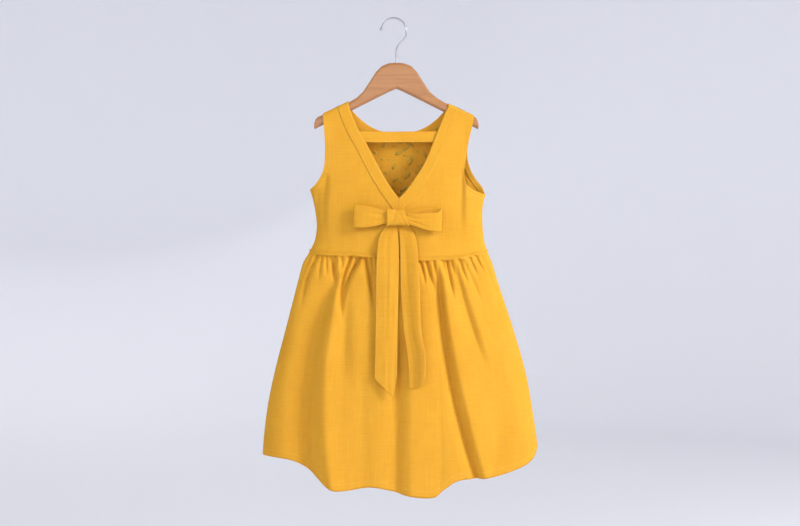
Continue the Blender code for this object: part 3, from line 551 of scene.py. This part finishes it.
FRONT_FOLDS = [
    Crease(-0.448, -0.860, -0.125, -0.152, -0.168, 0.011, 0.009, 0.016, 0.5, 0.15, 0),
    Crease(-0.450, -0.860, -0.118, -0.138, -0.150, -0.006, 0.012, 0.014, 0.9, 0.2, 0),
    Crease(-0.450, -0.860, -0.062, -0.081, -0.092, 0.010, 0.008, 0.018, 0.5, 0.15, 0),
    Crease(-0.460, -0.860, -0.004, -0.012, -0.008, 0.009, 0.014, 0.009, 0.6, 0.2, 0),
    Crease(-0.460, -0.860, 0.010, 0.006, 0.012, -0.005, 0.010, 0.018, 0.9, 0.3, 0),
    Crease(-0.446, -0.860, 0.055, 0.070, 0.084, 0.013, 0.014, 0.007, 0.45, 0.12, 0),
    Crease(-0.446, -0.860, 0.062, 0.082, 0.100, -0.006, 0.009, 0.018, 0.9, 0.2, 0),
    Crease(-0.446, -0.700, 0.104, 0.132, 0.160, 0.007, 0.010, 0.006, 0.5, 0.1, 0.4),
    Crease(-0.560, -0.860, 0.150, 0.172, 0.182, 0.009, 0.018, 0.012, 0.8, 0.3, 0),
    Crease(-0.500, -0.650, -0.170, -0.186, -0.200, 0.005, 0.010, 0.014, 0.8, 0.3, 0.4),
]
GATHER_SOFT = 0.35
GATHER_ONSET = 0.02
GATHER_DEEPER = 3.3       # the gathers as they look in raking light
GATHER_LONGER = 1.65
FRONT_GATHERS = 30
FRONT_GATHER_SPREAD = 0.146   # half the width over which they lie
FRONT_GATHER_FAN = 0.16       # how far they spread out, by their place


def front_gathers():
    """Short creases along the front waist, uneven in place, length and depth."""
    rows = []
    for index in range(FRONT_GATHERS):
        place = FRONT_GATHER_SPREAD * (2 * (index + 0.5) / FRONT_GATHERS - 1)
        place += 0.0022 * sin(4.1 * index)
        long = 0.034 + 0.018 * sin(2.7 * index + 1) + 0.008 * sin(6.3 * index)
        deep = 0.0026 + 0.0010 * sin(3.3 * index + 2)
        lean = FRONT_GATHER_FAN * place + 0.003 * sin(5.3 * index)
        top = float(waist(place / 0.165))
        rows.append(Gather(top, top - long, place, place + 0.55 * lean, place + lean * (long / 0.04),
                           deep, 0.0042, 0.0026 + 0.0010 * sin(1.9 * index)))
    return rows


def skirt_drape(side, x, height, creases):
    """Where points of a skirt panel hang."""
    reach = np.abs(x) / half_width(x, height)
    drop = np.maximum(waist(np.clip(x / half_width(x, height), -1, 1)) - height, 0)
    bump = np.sin(2 * pi * x / SEAM_BUMP + 1.6 * np.sin(41 * x + side) + 0.9 * np.sin(97 * x))
    bump = bump * SEAM_UNEVEN * (1 - np.exp(-drop / SEAM_BUMP))
    puff = SEAM_PUFF * (1 + bump) * np.exp(-drop / SEAM_PUFF_REACH)
    relief = (crease_height(creases, x, height) + puff) * (1 - np.minimum(reach, 1.0) ** 10)
    return np.stack([x + DRESS_X, side * (body_depth(side, x, height) + relief), height], axis=-1)


def skirt_panel(side, hem, creases):
    """Points and flat places of one skirt panel, from the hem up."""
    across = np.linspace(0, 1, SKIRT_COLUMNS + 1)
    reach = np.sin((2 * across - 1) * SIDE_ANGLE) / sin(SIDE_ANGLE)
    down = np.linspace(1, 0, SKIRT_ROWS + 1) ** SKIRT_CROWDING
    top = waist(reach) - SKIRT_GAP
    bottom = read(hem, reach, 1)
    height = top[None, :] + (bottom - top)[None, :] * down[:, None]
    x = reach[None, :] * half_width(reach[None, :], height)
    place = skirt_drape(side, x, height, creases)
    # the allowance above the seam, inside the bodice
    tuck = place[-1:].copy()
    tuck[..., 2] += SKIRT_TUCK
    inside = np.sign(place[-1:, :, 1]) * TUCK_INSIDE * smooth((1 - np.abs(reach)) / TUCK_SIDE)
    tuck[..., 1] -= inside
    close = place[-1:].copy()
    close[..., 1] -= inside
    close[..., 2] += TUCK_TURN
    place = np.concatenate([place, close, tuck])
    flat_across = np.repeat((across[None, :] - 0.5) * SKIRT_FLAT_WIDTH, len(place), axis=0)
    flat_up = np.concatenate([height, height[-1:] + TUCK_TURN, height[-1:] + SKIRT_TUCK])
    return place, flat_across, flat_up


def drawn_out(row):
    """A gather's crease, longer and deeper."""
    middle = row.x_top + (row.x_middle - row.x_top) * GATHER_LONGER
    return Crease(row.top, row.top - (row.top - row.bottom) * GATHER_LONGER, row.x_top, middle,
                  middle + (row.x_bottom - row.x_middle) * GATHER_LONGER, row.depth * GATHER_DEEPER,
                  row.left, row.right, GATHER_SOFT, GATHER_ONSET, row.fade)


SKIRT_BACK_CREASES = BACK_FOLDS + [drawn_out(row) for row in BACK_GATHERS]
SKIRT_FRONT_CREASES = FRONT_FOLDS + [drawn_out(row) for row in front_gathers()]
for panel_side, panel_name, hem, creases, length, cut_area in (
        (-1, "skirt_back", BACK_HEM, SKIRT_BACK_CREASES, 0.47, 0.255),
        (1, "skirt_front", FRONT_HEM, SKIRT_FRONT_CREASES, 0.43, 0.240)):
    panel = cloth(panel_name, skirt_panel(panel_side, hem, creases))

# Hem
# The lower edge of both skirt panels is turned up twice. A row of mustard thread holds the turning
# down and goes right through the linen.
HEM_TURNED = 0.012
HEM_SEWN = 0.985          # share of the width up to which it is sewn
MUSTARD_THREAD = (0.88, 0.50, 0.09)
STITCH_STEP = 0.0030
STITCH_LONG = 0.0023
THREAD = 0.00042
THREAD_RISE = 0.00012     # from the face of the cloth to the middle of a thread
THREAD_LIFT = LINEN / 2 + THREAD_RISE
STITCH_SIDES = 6
STITCH_RINGS = [(-0.5, 0.45), (-0.28, 1.0), (0.28, 1.0), (0.5, 0.45)]   # place and width


def stitches(name, lines, colour=MUSTARD_THREAD):
    """Short threads, one every step along lines of points with outward directions."""
    points = []
    faces = []
    turn = np.arange(STITCH_SIDES) * 2 * pi / STITCH_SIDES
    for line, normal in lines:
        run = np.concatenate([[0], np.cumsum(np.linalg.norm(np.diff(line, axis=0), axis=1))])
        for at in np.arange(STITCH_STEP, run[-1] - STITCH_STEP / 2, STITCH_STEP):
            ends = [np.array([np.interp(at + off, run, line[:, axis]) for axis in range(3)])
                    for off in (-STITCH_LONG / 2, STITCH_LONG / 2)]
            outward = np.array([np.interp(at, run, normal[:, axis]) for axis in range(3)])
            ahead = (ends[1] - ends[0]) / np.linalg.norm(ends[1] - ends[0])
            beside_it = np.cross(outward, ahead)
            first = len(points)
            for place, size in STITCH_RINGS:
                middle = (ends[0] + ends[1]) / 2 + ahead * STITCH_LONG * place
                middle = middle - outward * THREAD * 0.4 * (1 - size)
                ring = (np.cos(turn)[:, None] * beside_it + np.sin(turn)[:, None] * outward)
                points.extend((middle + ring * THREAD / 2 * size).tolist())
            for ring in range(len(STITCH_RINGS) - 1):
                for side in range(STITCH_SIDES):
                    a = first + ring * STITCH_SIDES + side
                    b = first + ring * STITCH_SIDES + (side + 1) % STITCH_SIDES
                    faces.append((a, b, b + STITCH_SIDES, a + STITCH_SIDES))
            faces.append(tuple(range(first + STITCH_SIDES - 1, first - 1, -1)))
            last = first + STITCH_SIDES * (len(STITCH_RINGS) - 1)
            faces.append(tuple(range(last, last + STITCH_SIDES)))
    thread, _, shader = new_finish(name + "_thread", 0.7)
    shader.inputs["Base Color"].default_value = (*colour, 1.0)
    kept(from_points(name, points, faces, thread))


hem_lines = []
for side, hem, creases in ((-1, BACK_HEM, SKIRT_BACK_CREASES), (1, FRONT_HEM, SKIRT_FRONT_CREASES)):
    reach = np.linspace(-HEM_SEWN, HEM_SEWN, 700)
    height = read(hem, reach, 1) + HEM_TURNED
    x = reach * half_width(reach, height)
    hem_lines.append(off_cloth(skirt_drape, side, x, height, creases, THREAD_LIFT))
stitches("hem_stitches", hem_lines)

# Neck bands
# A straight strip of the same linen is folded and laid over each edge of the V. It is topstitched
# near both its edges, and the two bands meet in a mitre on the centre line.
BAND_WIDTH = 0.020
BAND_LIFT = 0.0007        # from the panel's middle plane to the band's
BAND_STITCH = 0.0018      # from the band's edges to the thread
BAND_OVER = 0.0007        # how far the band rolls past the panel's edge
BAND_ROLL = 0.0005        # how far its inner edge turns in
BAND_BEND = 0.93          # share of its length below the bend over the wood


def edge_line(path):
    """Fine points along a smooth path, with the length run so far."""
    out, height = along(path, np.linspace(0, 1, 400))
    return out, height, np.concatenate([[0], np.cumsum(np.hypot(np.diff(out), np.diff(height)))])


def beside(path, run, off, turned):
    """Places at lengths along a path and off it: to its left where turned is 1."""
    out, height, length = edge_line(path)
    steps = [np.interp(run, length, np.gradient(line, length)) for line in (out, height)]
    size = np.hypot(*steps)
    straight = np.minimum(run, 0)
    return (np.interp(run, length, out) + (straight * steps[0] - turned * off * steps[1]) / size,
            np.interp(run, length, height) + (straight * steps[1] + turned * off * steps[0]) / size)


def band_place(hand, up, off):
    """Place on the band at a share of its length and a distance from the neck's edge."""
    path = neck_path(-1, hand)
    out, height, length = edge_line(path)
    start = -off * (height[1] - height[0]) / (out[1] - out[0])
    flat = np.minimum(up / BAND_BEND, 1.0)
    out, height = beside(path, start + (length[-1] - start) * flat, off, -1)
    x = hand * np.maximum(out, 0.0)
    top = spring(x) + ARCH * SHOULDER_SEAM
    return x, height + (top - height) * np.clip((up - BAND_BEND) / (1 - BAND_BEND), 0, 1)


band_lines = []
for hand, band_name in ((-1, "neck_band_left"), (1, "neck_band_right")):
    up, off = np.meshgrid(np.linspace(0, 1, 121), np.linspace(-BAND_OVER, BAND_WIDTH, 13), indexing="ij")
    x, height = band_place(hand, up, off)
    place, _ = bodice_cloth(-1, x, height, BAND_LIFT - BAND_ROLL * smooth(-off / BAND_OVER))
    band = cloth(band_name, (place, off, up * 0.21))
    for place in (BAND_STITCH, BAND_WIDTH - BAND_STITCH):
        up = np.linspace(0.0, 0.97, 300)
        x, height = band_place(hand, up, np.full(300, place))
        band_lines.append(bodice_cloth(-1, x, height, BAND_LIFT + THREAD_LIFT))
stitches("neck_band_stitches", band_lines)

# Armhole facings
# A narrow strip inside each armhole turns the raw edge under. Two rows of thread hold it down,
# and they show on the outside of the panel as well.
FACING_WIDTH = 0.010
FACING_END = 0.74
FACING_STITCHES = (0.0020, 0.0080)

facing_lines = []
for side, part in ((-1, "back"), (1, "front")):
    for hand, word in ((-1, "left"), (1, "right")):
        path = arm_path(side, hand)
        length = edge_line(path)[2][-1] * FACING_END
        run, off = np.meshgrid(np.linspace(0, length, 61), np.linspace(0, FACING_WIDTH, 9), indexing="ij")
        out, height = beside(path, run - 0.3 * off * (1 - run / length), off, 1)
        out = np.minimum(out, half_width(hand, height) * 0.995)
        place, _ = bodice_cloth(side, hand * out, height, -BAND_LIFT)
        facing = cloth(f"armhole_facing_{part}_{word}", (place, off, run))
        for place in FACING_STITCHES:
            run = np.linspace(0.002, length, 200)
            out, height = beside(path, run, np.full(200, place), 1)
            for lift, turned in ((THREAD_LIFT, 1), (-BAND_LIFT - THREAD_LIFT, -1)):
                points, outward = bodice_cloth(side, hand * out, height, lift)
                facing_lines.append((points, outward * turned))
stitches("armhole_stitches", facing_lines)

# Back strap
# A straight folded strap across the top of the V. Its ends are sewn behind the neck bands.
STRAP_TOP = -0.2085
STRAP_BOTTOM = -0.2285
STRAP_HALF = 0.084
STRAP_SAG = 0.0004
STRAP_UNEVEN = 0.0002
STRAP_ROLL = 0.0006       # of its edges
STRAP_BEHIND = 0.0019     # the back panel's middle plane

across, up = np.meshgrid(np.linspace(0, 1, 61), np.linspace(0, 1, 13))
height = STRAP_BOTTOM + (STRAP_TOP - STRAP_BOTTOM) * up
depth = drape(-1, np.full(height.shape, STRAP_HALF), height, [])[..., 1] + STRAP_BEHIND
x = STRAP_HALF * (2 * across - 1)
height = height - STRAP_SAG * np.sin(pi * across) + STRAP_UNEVEN * np.sin(9 * across + 2)
roll = STRAP_ROLL * np.cos(2 * pi * up) * np.sin(pi * across)
strap_points = np.stack([x + DRESS_X, depth + roll, height], axis=-1)
strap = cloth("back_strap", (strap_points, up * 0.02, x))
outward = np.tile([0.0, -1.0, 0.0], (61, 1))
stitches("back_strap_stitches", [
    (strap_points[row] - [0.0, THREAD_LIFT, 0.0], outward) for row in (1, 11)])

# Bow
# A soft bow of doubled linen below the point of the V: a wrapped knot and two flat loops, the
# right one gaping at its top. Both ends of the tie hang down over the skirt.
KNOT = (-0.0035, -0.0388, -0.3680)
KNOT_HALF = (0.0180, 0.0075, 0.0160)
KNOT_NARROWER = 0.0026    # at the top, and as much wider at the bottom
KNOT_LEAN = 0.0022
Loop = namedtuple("Loop", "hand length root_half end_half depth rise gape")
LOOPS = {
    "bow_loop_left": Loop(-1, 0.070, 0.0105, 0.0205, 0.0100, 0.002, 0.001),
    "bow_loop_right": Loop(1, 0.074, 0.0105, 0.0210, 0.0120, -0.005, 0.009),
}
LOOP_TUCK = 0.010
LOOP_CREASES = [(-0.60, 0.0018), (0.40, 0.0008)]   # place across, depth
Tail = namedtuple("Tail", "height left right left_lift right_lift")
TAILS = {
    "tie_tail_left": [
        Tail(-0.369, -0.0210, -0.0040, 0.0020, 0.0020),
        Tail(-0.388, -0.0270, -0.0030, 0.0020, 0.0020),
        Tail(-0.402, -0.0350, -0.0010, 0.0050, 0.0050),
        Tail(-0.425, -0.0385, 0.0005, 0.0085, 0.0080),
        Tail(-0.460, -0.0405, 0.0005, 0.0085, 0.0085),
        Tail(-0.560, -0.0415, -0.0015, 0.0080, 0.0090),
        Tail(-0.700, -0.0440, -0.0035, 0.0080, 0.0085),
    ],
    "tie_tail_right": [
        Tail(-0.369, -0.0020, 0.0130, 0.0020, 0.0020),
        Tail(-0.388, 0.0005, 0.0235, 0.0020, 0.0020),
        Tail(-0.402, 0.0020, 0.0305, 0.0050, 0.0070),
        Tail(-0.425, 0.0030, 0.0340, 0.0080, 0.0130),
        Tail(-0.500, 0.0045, 0.0385, 0.0085, 0.0160),
        Tail(-0.570, 0.0095, 0.0410, 0.0085, 0.0180),
        Tail(-0.625, 0.0170, 0.0490, 0.0085, 0.0190),
        Tail(-0.700, 0.0210, 0.0460, 0.0085, 0.0150),
    ],
}
TAIL_ENDS = {   # share of the width and height of the cut end
    "tie_tail_left": [(0.0, -0.661), (0.3, -0.673), (0.6, -0.685), (0.87, -0.696), (1.0, -0.652)],
    "tie_tail_right": [(0.0, -0.678), (0.3, -0.679), (0.6, -0.677), (0.87, -0.671), (1.0, -0.655)],
}
# Creases along the ends: share of the width at top and bottom, width and depth
TAIL_CREASES = {
    "tie_tail_left": [(0.42, 0.60, 0.07, 0.0006), (0.70, 0.48, 0.08, -0.0005)],
    "tie_tail_right": [(0.25, 0.60, 0.08, 0.0004)],
}
TAIL_TURN = {"tie_tail_left": 0.0, "tie_tail_right": 0.22}   # where its width turns forwards

for loop_name, loop in LOOPS.items():
    across, up = np.meshgrid(np.linspace(0, 1, 81), np.linspace(0, 1, 25))
    turn = pi * across
    reach = np.sin(turn) ** 0.8
    open_out = smooth(reach * 1.3)
    front = np.maximum(np.cos(turn), 0.0)
    half = loop.root_half + (loop.end_half - loop.root_half) * open_out
    depth = 0.0030 + (loop.depth / 2 - 0.0030) * open_out
    spread = 2 * up - 1
    pleat = 0.0012 * np.cos(3 * pi * up) * (1 - open_out)
    crease = sum(size * np.exp(-((spread - place * (0.3 + 1.1 * reach)) / 0.15) ** 2)
                 for place, size in LOOP_CREASES) * smooth(reach / 0.3) * smooth((0.80 - reach) / 0.45)
    droop = loop.gape * smooth(front * 1.5) * smooth(reach / 0.5) * up
    place = np.stack([
        KNOT[0] + DRESS_X + loop.hand * (KNOT_HALF[0] - LOOP_TUCK + loop.length * reach),
        KNOT[1] - depth * np.cos(turn) + pleat + crease * np.sign(np.cos(turn)),
        KNOT[2] + loop.rise * reach + half * spread - droop], axis=-1)
    bow_loop = cloth(loop_name, (place, across * 0.145, up * 0.04))

across, up = np.meshgrid(np.linspace(0, 1, 65), np.linspace(0, 1, 25), indexing="ij")
turn = 2 * pi * across
ring_y = np.sign(np.cos(turn)) * np.abs(np.cos(turn)) ** 0.7
ring_z = np.sign(np.sin(turn)) * np.abs(np.sin(turn)) ** 0.7
spread = 2 * up - 1
tuck = 0.0009 * np.exp(-((spread + 0.25 - 0.45 * np.sin(turn)) / 0.12) ** 2)
tuck += 0.0007 * np.exp(-((spread - 0.45 + 0.35 * np.sin(turn)) / 0.11) ** 2)
place = np.stack([
    KNOT[0] + DRESS_X + (KNOT_HALF[0] - KNOT_NARROWER * ring_z) * spread - KNOT_LEAN * ring_z,
    KNOT[1] + (KNOT_HALF[1] - tuck) * ring_y,
    KNOT[2] + (KNOT_HALF[2] - tuck) * ring_z * (1 - 0.10 * (1 - spread ** 2))], axis=-1)
knot = cloth("bow_knot", (place, across * 0.09, up * 0.036))

tail_lines = []
for tail_name, rows in TAILS.items():
    share, down = np.meshgrid(np.linspace(0, 1, 33), np.linspace(0, 1, 141))
    top = rows[0].height
    end = np.interp(share, *zip(*TAIL_ENDS[tail_name]))
    height = top + (end - top) * down
    left = read(rows, height, 1)
    right = read(rows, height, 2)
    turned = smooth((share - TAIL_TURN[tail_name]) / (1 - TAIL_TURN[tail_name]))
    lift = read(rows, height, 3) * (1 - turned) + read(rows, height, 4) * turned
    lift = lift + 0.0015 * np.sin(pi * share) * smooth((top - height) / 0.050)
    for near, far, wide, deep in TAIL_CREASES[tail_name]:
        lift = lift - deep * np.exp(-((share - near - (far - near) * down) / wide) ** 2) * smooth(down * 4)
    lift = lift + 0.0008 * np.sin(11 * down + 3 * share) * smooth(down * 3)
    place = np.stack([left + (right - left) * share + DRESS_X,
                      -(read(SECTIONS, height, 3) + lift), height], axis=-1)
    tail = cloth(tail_name, (place, share * 0.042, height))
    for column in (1, 31):
        line = place[:, column] - [0.0, THREAD_LIFT, 0.0]
        tail_lines.append((line[12:], np.tile([0.0, -1.0, 0.0], (len(line) - 12, 1))))
stitches("tail_stitches", tail_lines)

# Embroidery
# Small leaf sprigs in green thread are worked over the front yoke and up to its shoulders. Each
# leaf shows on the outside and, paler, as its reverse on the inside, seen through the V.
LEAF_LONG = 0.0138
LEAF_WIDE = 0.0062
LEAF_RAISED = 0.0004
LEAF_EDGE = 0.0001        # the same at its edge
LEAF_SUNK = 0.0002        # how deep its stitches go into the linen
LEAF_SIDES = 10
LEAF_OUT = 0.0058         # from the stem
VINES = [-0.098, -0.074, -0.052, -0.031, -0.010, 0.012, 0.034, 0.055, 0.077, 0.099]
VINE_BOTTOM = -0.338
VINE_STEP = 0.0125
VINE_STEPS = 18
VINE_SWAY = 0.0065
YOKE_SIDE = [(-0.316, 0.150), (-0.300, 0.136), (-0.277, 0.122), (-0.252, 0.116)]   # height, half width
YOKE_TOP_FREE = 0.013     # free of stems below the neckline
YOKE_SIDE_FREE = 0.008
SHOULDER_LEAVES = [(-0.112, 1.02, 0.4), (-0.1025, 0.9, -0.5), (0.1026, 1.02, 0.5), (0.1128, 1.05, -0.4),
                   (0.1211, 1.02, 0.6)]    # x, share of the bend over the wood, turn


def yoke_top(x):
    """Height of the front neckline, or of the shoulder, above a place."""
    return np.where(np.abs(x) < NECK_TOP, np.interp(np.abs(x), *zip(*FRONT_NECK)), spring(x) + 0.004)


leaves = []
stems = []
for vine, start in enumerate(VINES):
    trail = []
    for step in range(VINE_STEPS):
        height = VINE_BOTTOM + 0.004 * sin(2.3 * vine) + VINE_STEP * step
        x = start + VINE_SWAY * sin(step * 0.8 + vine * 1.9) + 0.002 * sin(3.1 * step + vine)
        limit = float(np.interp(height, *zip(*YOKE_SIDE)))
        if height > yoke_top(x) - YOKE_TOP_FREE or abs(x) > limit - YOKE_SIDE_FREE:
            break
        trail.append((x, height))
        hand = 1 if (step + vine) % 2 else -1
        turn = pi / 2 - hand * (0.75 + 0.35 * sin(5 * step + vine))
        leaves.append((x + hand * LEAF_OUT, height + 0.003, turn, 0.8 + 0.35 * sin(2.9 * step + 1.7 * vine)))
    if len(trail) > 2:
        stems.append(np.array(trail))
for x, bend, turned in SHOULDER_LEAVES:
    leaves.append((x, float(spring(x)) + ARCH * pi / 2 * bend, turned, 1.0))

for name, lift, turned, colour in (
        ("embroidery", LINEN / 2, 1, (0.070, 0.125, 0.020)),
        ("embroidery_reverse", -LINEN / 2, -1, (0.36, 0.215, 0.012))):
    points = []
    faces = []
    rim = np.arange(LEAF_SIDES) * 2 * pi / LEAF_SIDES
    for x, height, angle, size in leaves:
        along_it = np.cos(rim) * LEAF_LONG / 2 * size
        off = np.sin(rim) * np.abs(np.sin(rim)) ** 0.4 * LEAF_WIDE / 2 * size
        place, outward = bodice_cloth(1, x + along_it * cos(angle) - off * sin(angle),
                                      height + along_it * sin(angle) + off * cos(angle), lift)
        middle, up_here = bodice_cloth(1, np.array([x]), np.array([height]), lift + turned * LEAF_RAISED)
        first = len(points)
        points.extend((place + outward * turned * LEAF_EDGE).tolist())
        points.extend((place - outward * turned * LEAF_SUNK).tolist())
        points.append(middle[0].tolist())
        points.append((middle[0] - up_here[0] * turned * (LEAF_RAISED + LEAF_SUNK)).tolist())
        for step in range(LEAF_SIDES):
            a, b = first + step, first + (step + 1) % LEAF_SIDES
            under_a, under_b, top = a + LEAF_SIDES, b + LEAF_SIDES, first + 2 * LEAF_SIDES
            faces += [(a, b, top), (b, a, under_a, under_b), (under_b, under_a, top + 1)]
    thread, tree, shader = new_finish(name + "_thread", 0.6)
    place = add_node(tree, "ShaderNodeTexCoord", {}, 3)
    strands = add_node(tree, "ShaderNodeTexNoise", {"Vector": place, "Scale": 900.0, "Detail": 1.0})
    tint = add_node(tree, "ShaderNodeMix",
                    {0: strands, 6: colour, 7: tuple(min(1.0, 1.7 * part) for part in colour)}, 2,
                    data_type="RGBA")
    tree.links.new(tint.socket, shader.inputs["Base Color"])
    made = kept(from_points(name, points, faces, thread))
    work = bmesh.new()
    work.from_mesh(made.data)
    bmesh.ops.recalc_face_normals(work, faces=work.faces)
    work.to_mesh(made.data)
    work.free()
    lines = []
    for trail in stems:
        x = np.interp(np.linspace(0, 1, 200), np.linspace(0, 1, len(trail)), trail[:, 0])
        height = np.linspace(trail[0, 1], trail[-1, 1], 200)
        points, outward = bodice_cloth(1, x, height, lift + turned * THREAD_RISE)
        lines.append((points, outward * turned))
    stitches(name + "_stems", lines, colour)

# Hanger
# A contoured hanger sawn from one beech board, 12 mm thick and rounded at its edges, with a satin
# varnish. The grain runs across it, from arm to arm.
beech, tree, shader = new_finish("beech", 0.38, Coat_Weight=0.25, Coat_Roughness=0.25)
place = add_node(tree, "ShaderNodeTexCoord", {}, 3)
grain_place = add_node(tree, "ShaderNodeMapping", {"Vector": place, "Scale": (6.0, 40.0, 90.0)})
grain = add_node(tree, "ShaderNodeTexNoise",
                 {"Vector": grain_place, "Scale": 1.6, "Detail": 5.0, "Distortion": 0.6})
fleck = add_node(tree, "ShaderNodeTexNoise", {"Vector": grain_place, "Scale": 9.0, "Detail": 2.0})
tone = (grain * 1.3 + fleck * 0.35 - 0.32).clamp(0.0, 1.0)
colour = add_node(tree, "ShaderNodeMix", {0: tone, 6: (0.27, 0.098, 0.024), 7: (0.46, 0.205, 0.062)}, 2,
                  data_type="RGBA")
tree.links.new(colour.socket, shader.inputs["Base Color"])
bump = add_node(tree, "ShaderNodeBump", {"Height": fleck, "Strength": 0.2, "Distance": 0.0002})
tree.links.new(bump.socket, shader.inputs["Normal"])
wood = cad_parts["hanger"]
wood.data.materials.clear()
wood.data.materials.append(beech)

# Hook
# Steel wire, chromed and bent to a hook, with a small ball at its end. Its shank goes down into
# the wood.
chrome, tree, shader = new_finish("chrome", 0.14, Metallic=1.0)
place = add_node(tree, "ShaderNodeTexCoord", {}, 3)
haze = add_node(tree, "ShaderNodeTexNoise", {"Vector": place, "Scale": 60.0, "Detail": 2.0})
shader.inputs["Base Color"].default_value = (0.60, 0.60, 0.62, 1.0)
tree.links.new((haze * 0.12 + 0.08).socket, shader.inputs["Roughness"])
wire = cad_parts["hanger_hook"]
wire.data.materials.clear()
wire.data.materials.append(chrome)

# Studio
# A pale round backdrop curves up from the floor. A soft key light stands to the right, a weaker
# fill to the left and a weak lamp before the dress's front. The camera looks level at its back.
FLOOR = -1.150
BOWL_FLAT = 3.2
BOWL_WALL = 4.4
BOWL_TOP = 6.0
BOWL_STEPS = 12
Lamp = namedtuple("Lamp", "name x y z size power colour")
LAMPS = [
    Lamp("key", 2.9, -1.7, 0.9, 1.3, 122, (1.0, 0.98, 0.96)),
    Lamp("fill", -1.0, -3.7, 0.7, 2.6, 50, (0.97, 0.98, 1.0)),
    Lamp("front", -1.4, 3.5, 1.0, 2.4, 20, (1.0, 0.98, 0.95)),
]
LAMPS_AIM = (0.0, 0.0, -0.45)
CAMERA = (0.0120, -2.6, -0.4514)
LENS = 63.2

backdrop, _, shader = new_finish("backdrop", 0.95)
shader.inputs["Base Color"].default_value = (0.80, 0.815, 0.87, 1.0)
bpy.ops.object.select_all(action="DESELECT")
bpy.ops.mesh.primitive_circle_add(vertices=128, radius=BOWL_FLAT, fill_type="NGON",
                                  location=(0, 0, FLOOR))
bowl = bpy.context.object
bowl.name = "backdrop_bowl"
bpy.ops.object.mode_set(mode="EDIT")
bpy.ops.mesh.select_all(action="SELECT")
bpy.ops.mesh.select_mode(type="EDGE")
bpy.ops.mesh.region_to_loop()
before = (BOWL_FLAT, 0.0)
for step in range(1, BOWL_STEPS + 1):
    turn = pi / 2 * step / BOWL_STEPS
    ring = (BOWL_FLAT + (BOWL_WALL - BOWL_FLAT) * sin(turn), (BOWL_WALL - BOWL_FLAT) * (1 - cos(turn)))
    bpy.ops.mesh.extrude_edges_move(TRANSFORM_OT_translate={"value": (0, 0, ring[1] - before[1])})
    factor = ring[0] / before[0]
    bpy.ops.transform.resize(value=(factor, factor, 1), center_override=(0, 0, 0))
    before = ring
bpy.ops.mesh.extrude_edges_move(TRANSFORM_OT_translate={"value": (0, 0, BOWL_TOP)})
bpy.ops.object.mode_set(mode="OBJECT")
bpy.ops.object.transform_apply(location=True, rotation=False, scale=False)
bowl.data.shade_smooth()
bowl.data.materials.append(backdrop)

for lamp in LAMPS:
    light = bpy.data.lights.new(lamp.name, "AREA")
    light.energy = lamp.power
    light.size = lamp.size
    light.color = lamp.colour
    holder = bpy.data.objects.new(lamp.name, light)
    bpy.context.scene.collection.objects.link(holder)
    holder.location = (lamp.x, lamp.y, lamp.z)
    holder.visible_camera = False
    aim = Vector(LAMPS_AIM) - holder.location
    holder.rotation_euler = aim.to_track_quat("-Z", "Y").to_euler()

world = bpy.data.worlds.new("studio")
world.use_nodes = True
world.node_tree.nodes["Background"].inputs["Color"].default_value = (1.0, 0.96, 0.90, 1.0)
world.node_tree.nodes["Background"].inputs["Strength"].default_value = 0.42
bpy.context.scene.world = world
bpy.context.scene.view_settings.view_transform = "Standard"

camera = bpy.data.objects.new("camera", bpy.data.cameras.new("camera"))
bpy.context.scene.collection.objects.link(camera)
camera.location = CAMERA
camera.rotation_euler = (pi / 2, 0, 0)
camera.data.sensor_width = 36.0
camera.data.lens = LENS
bpy.context.scene.camera = camera
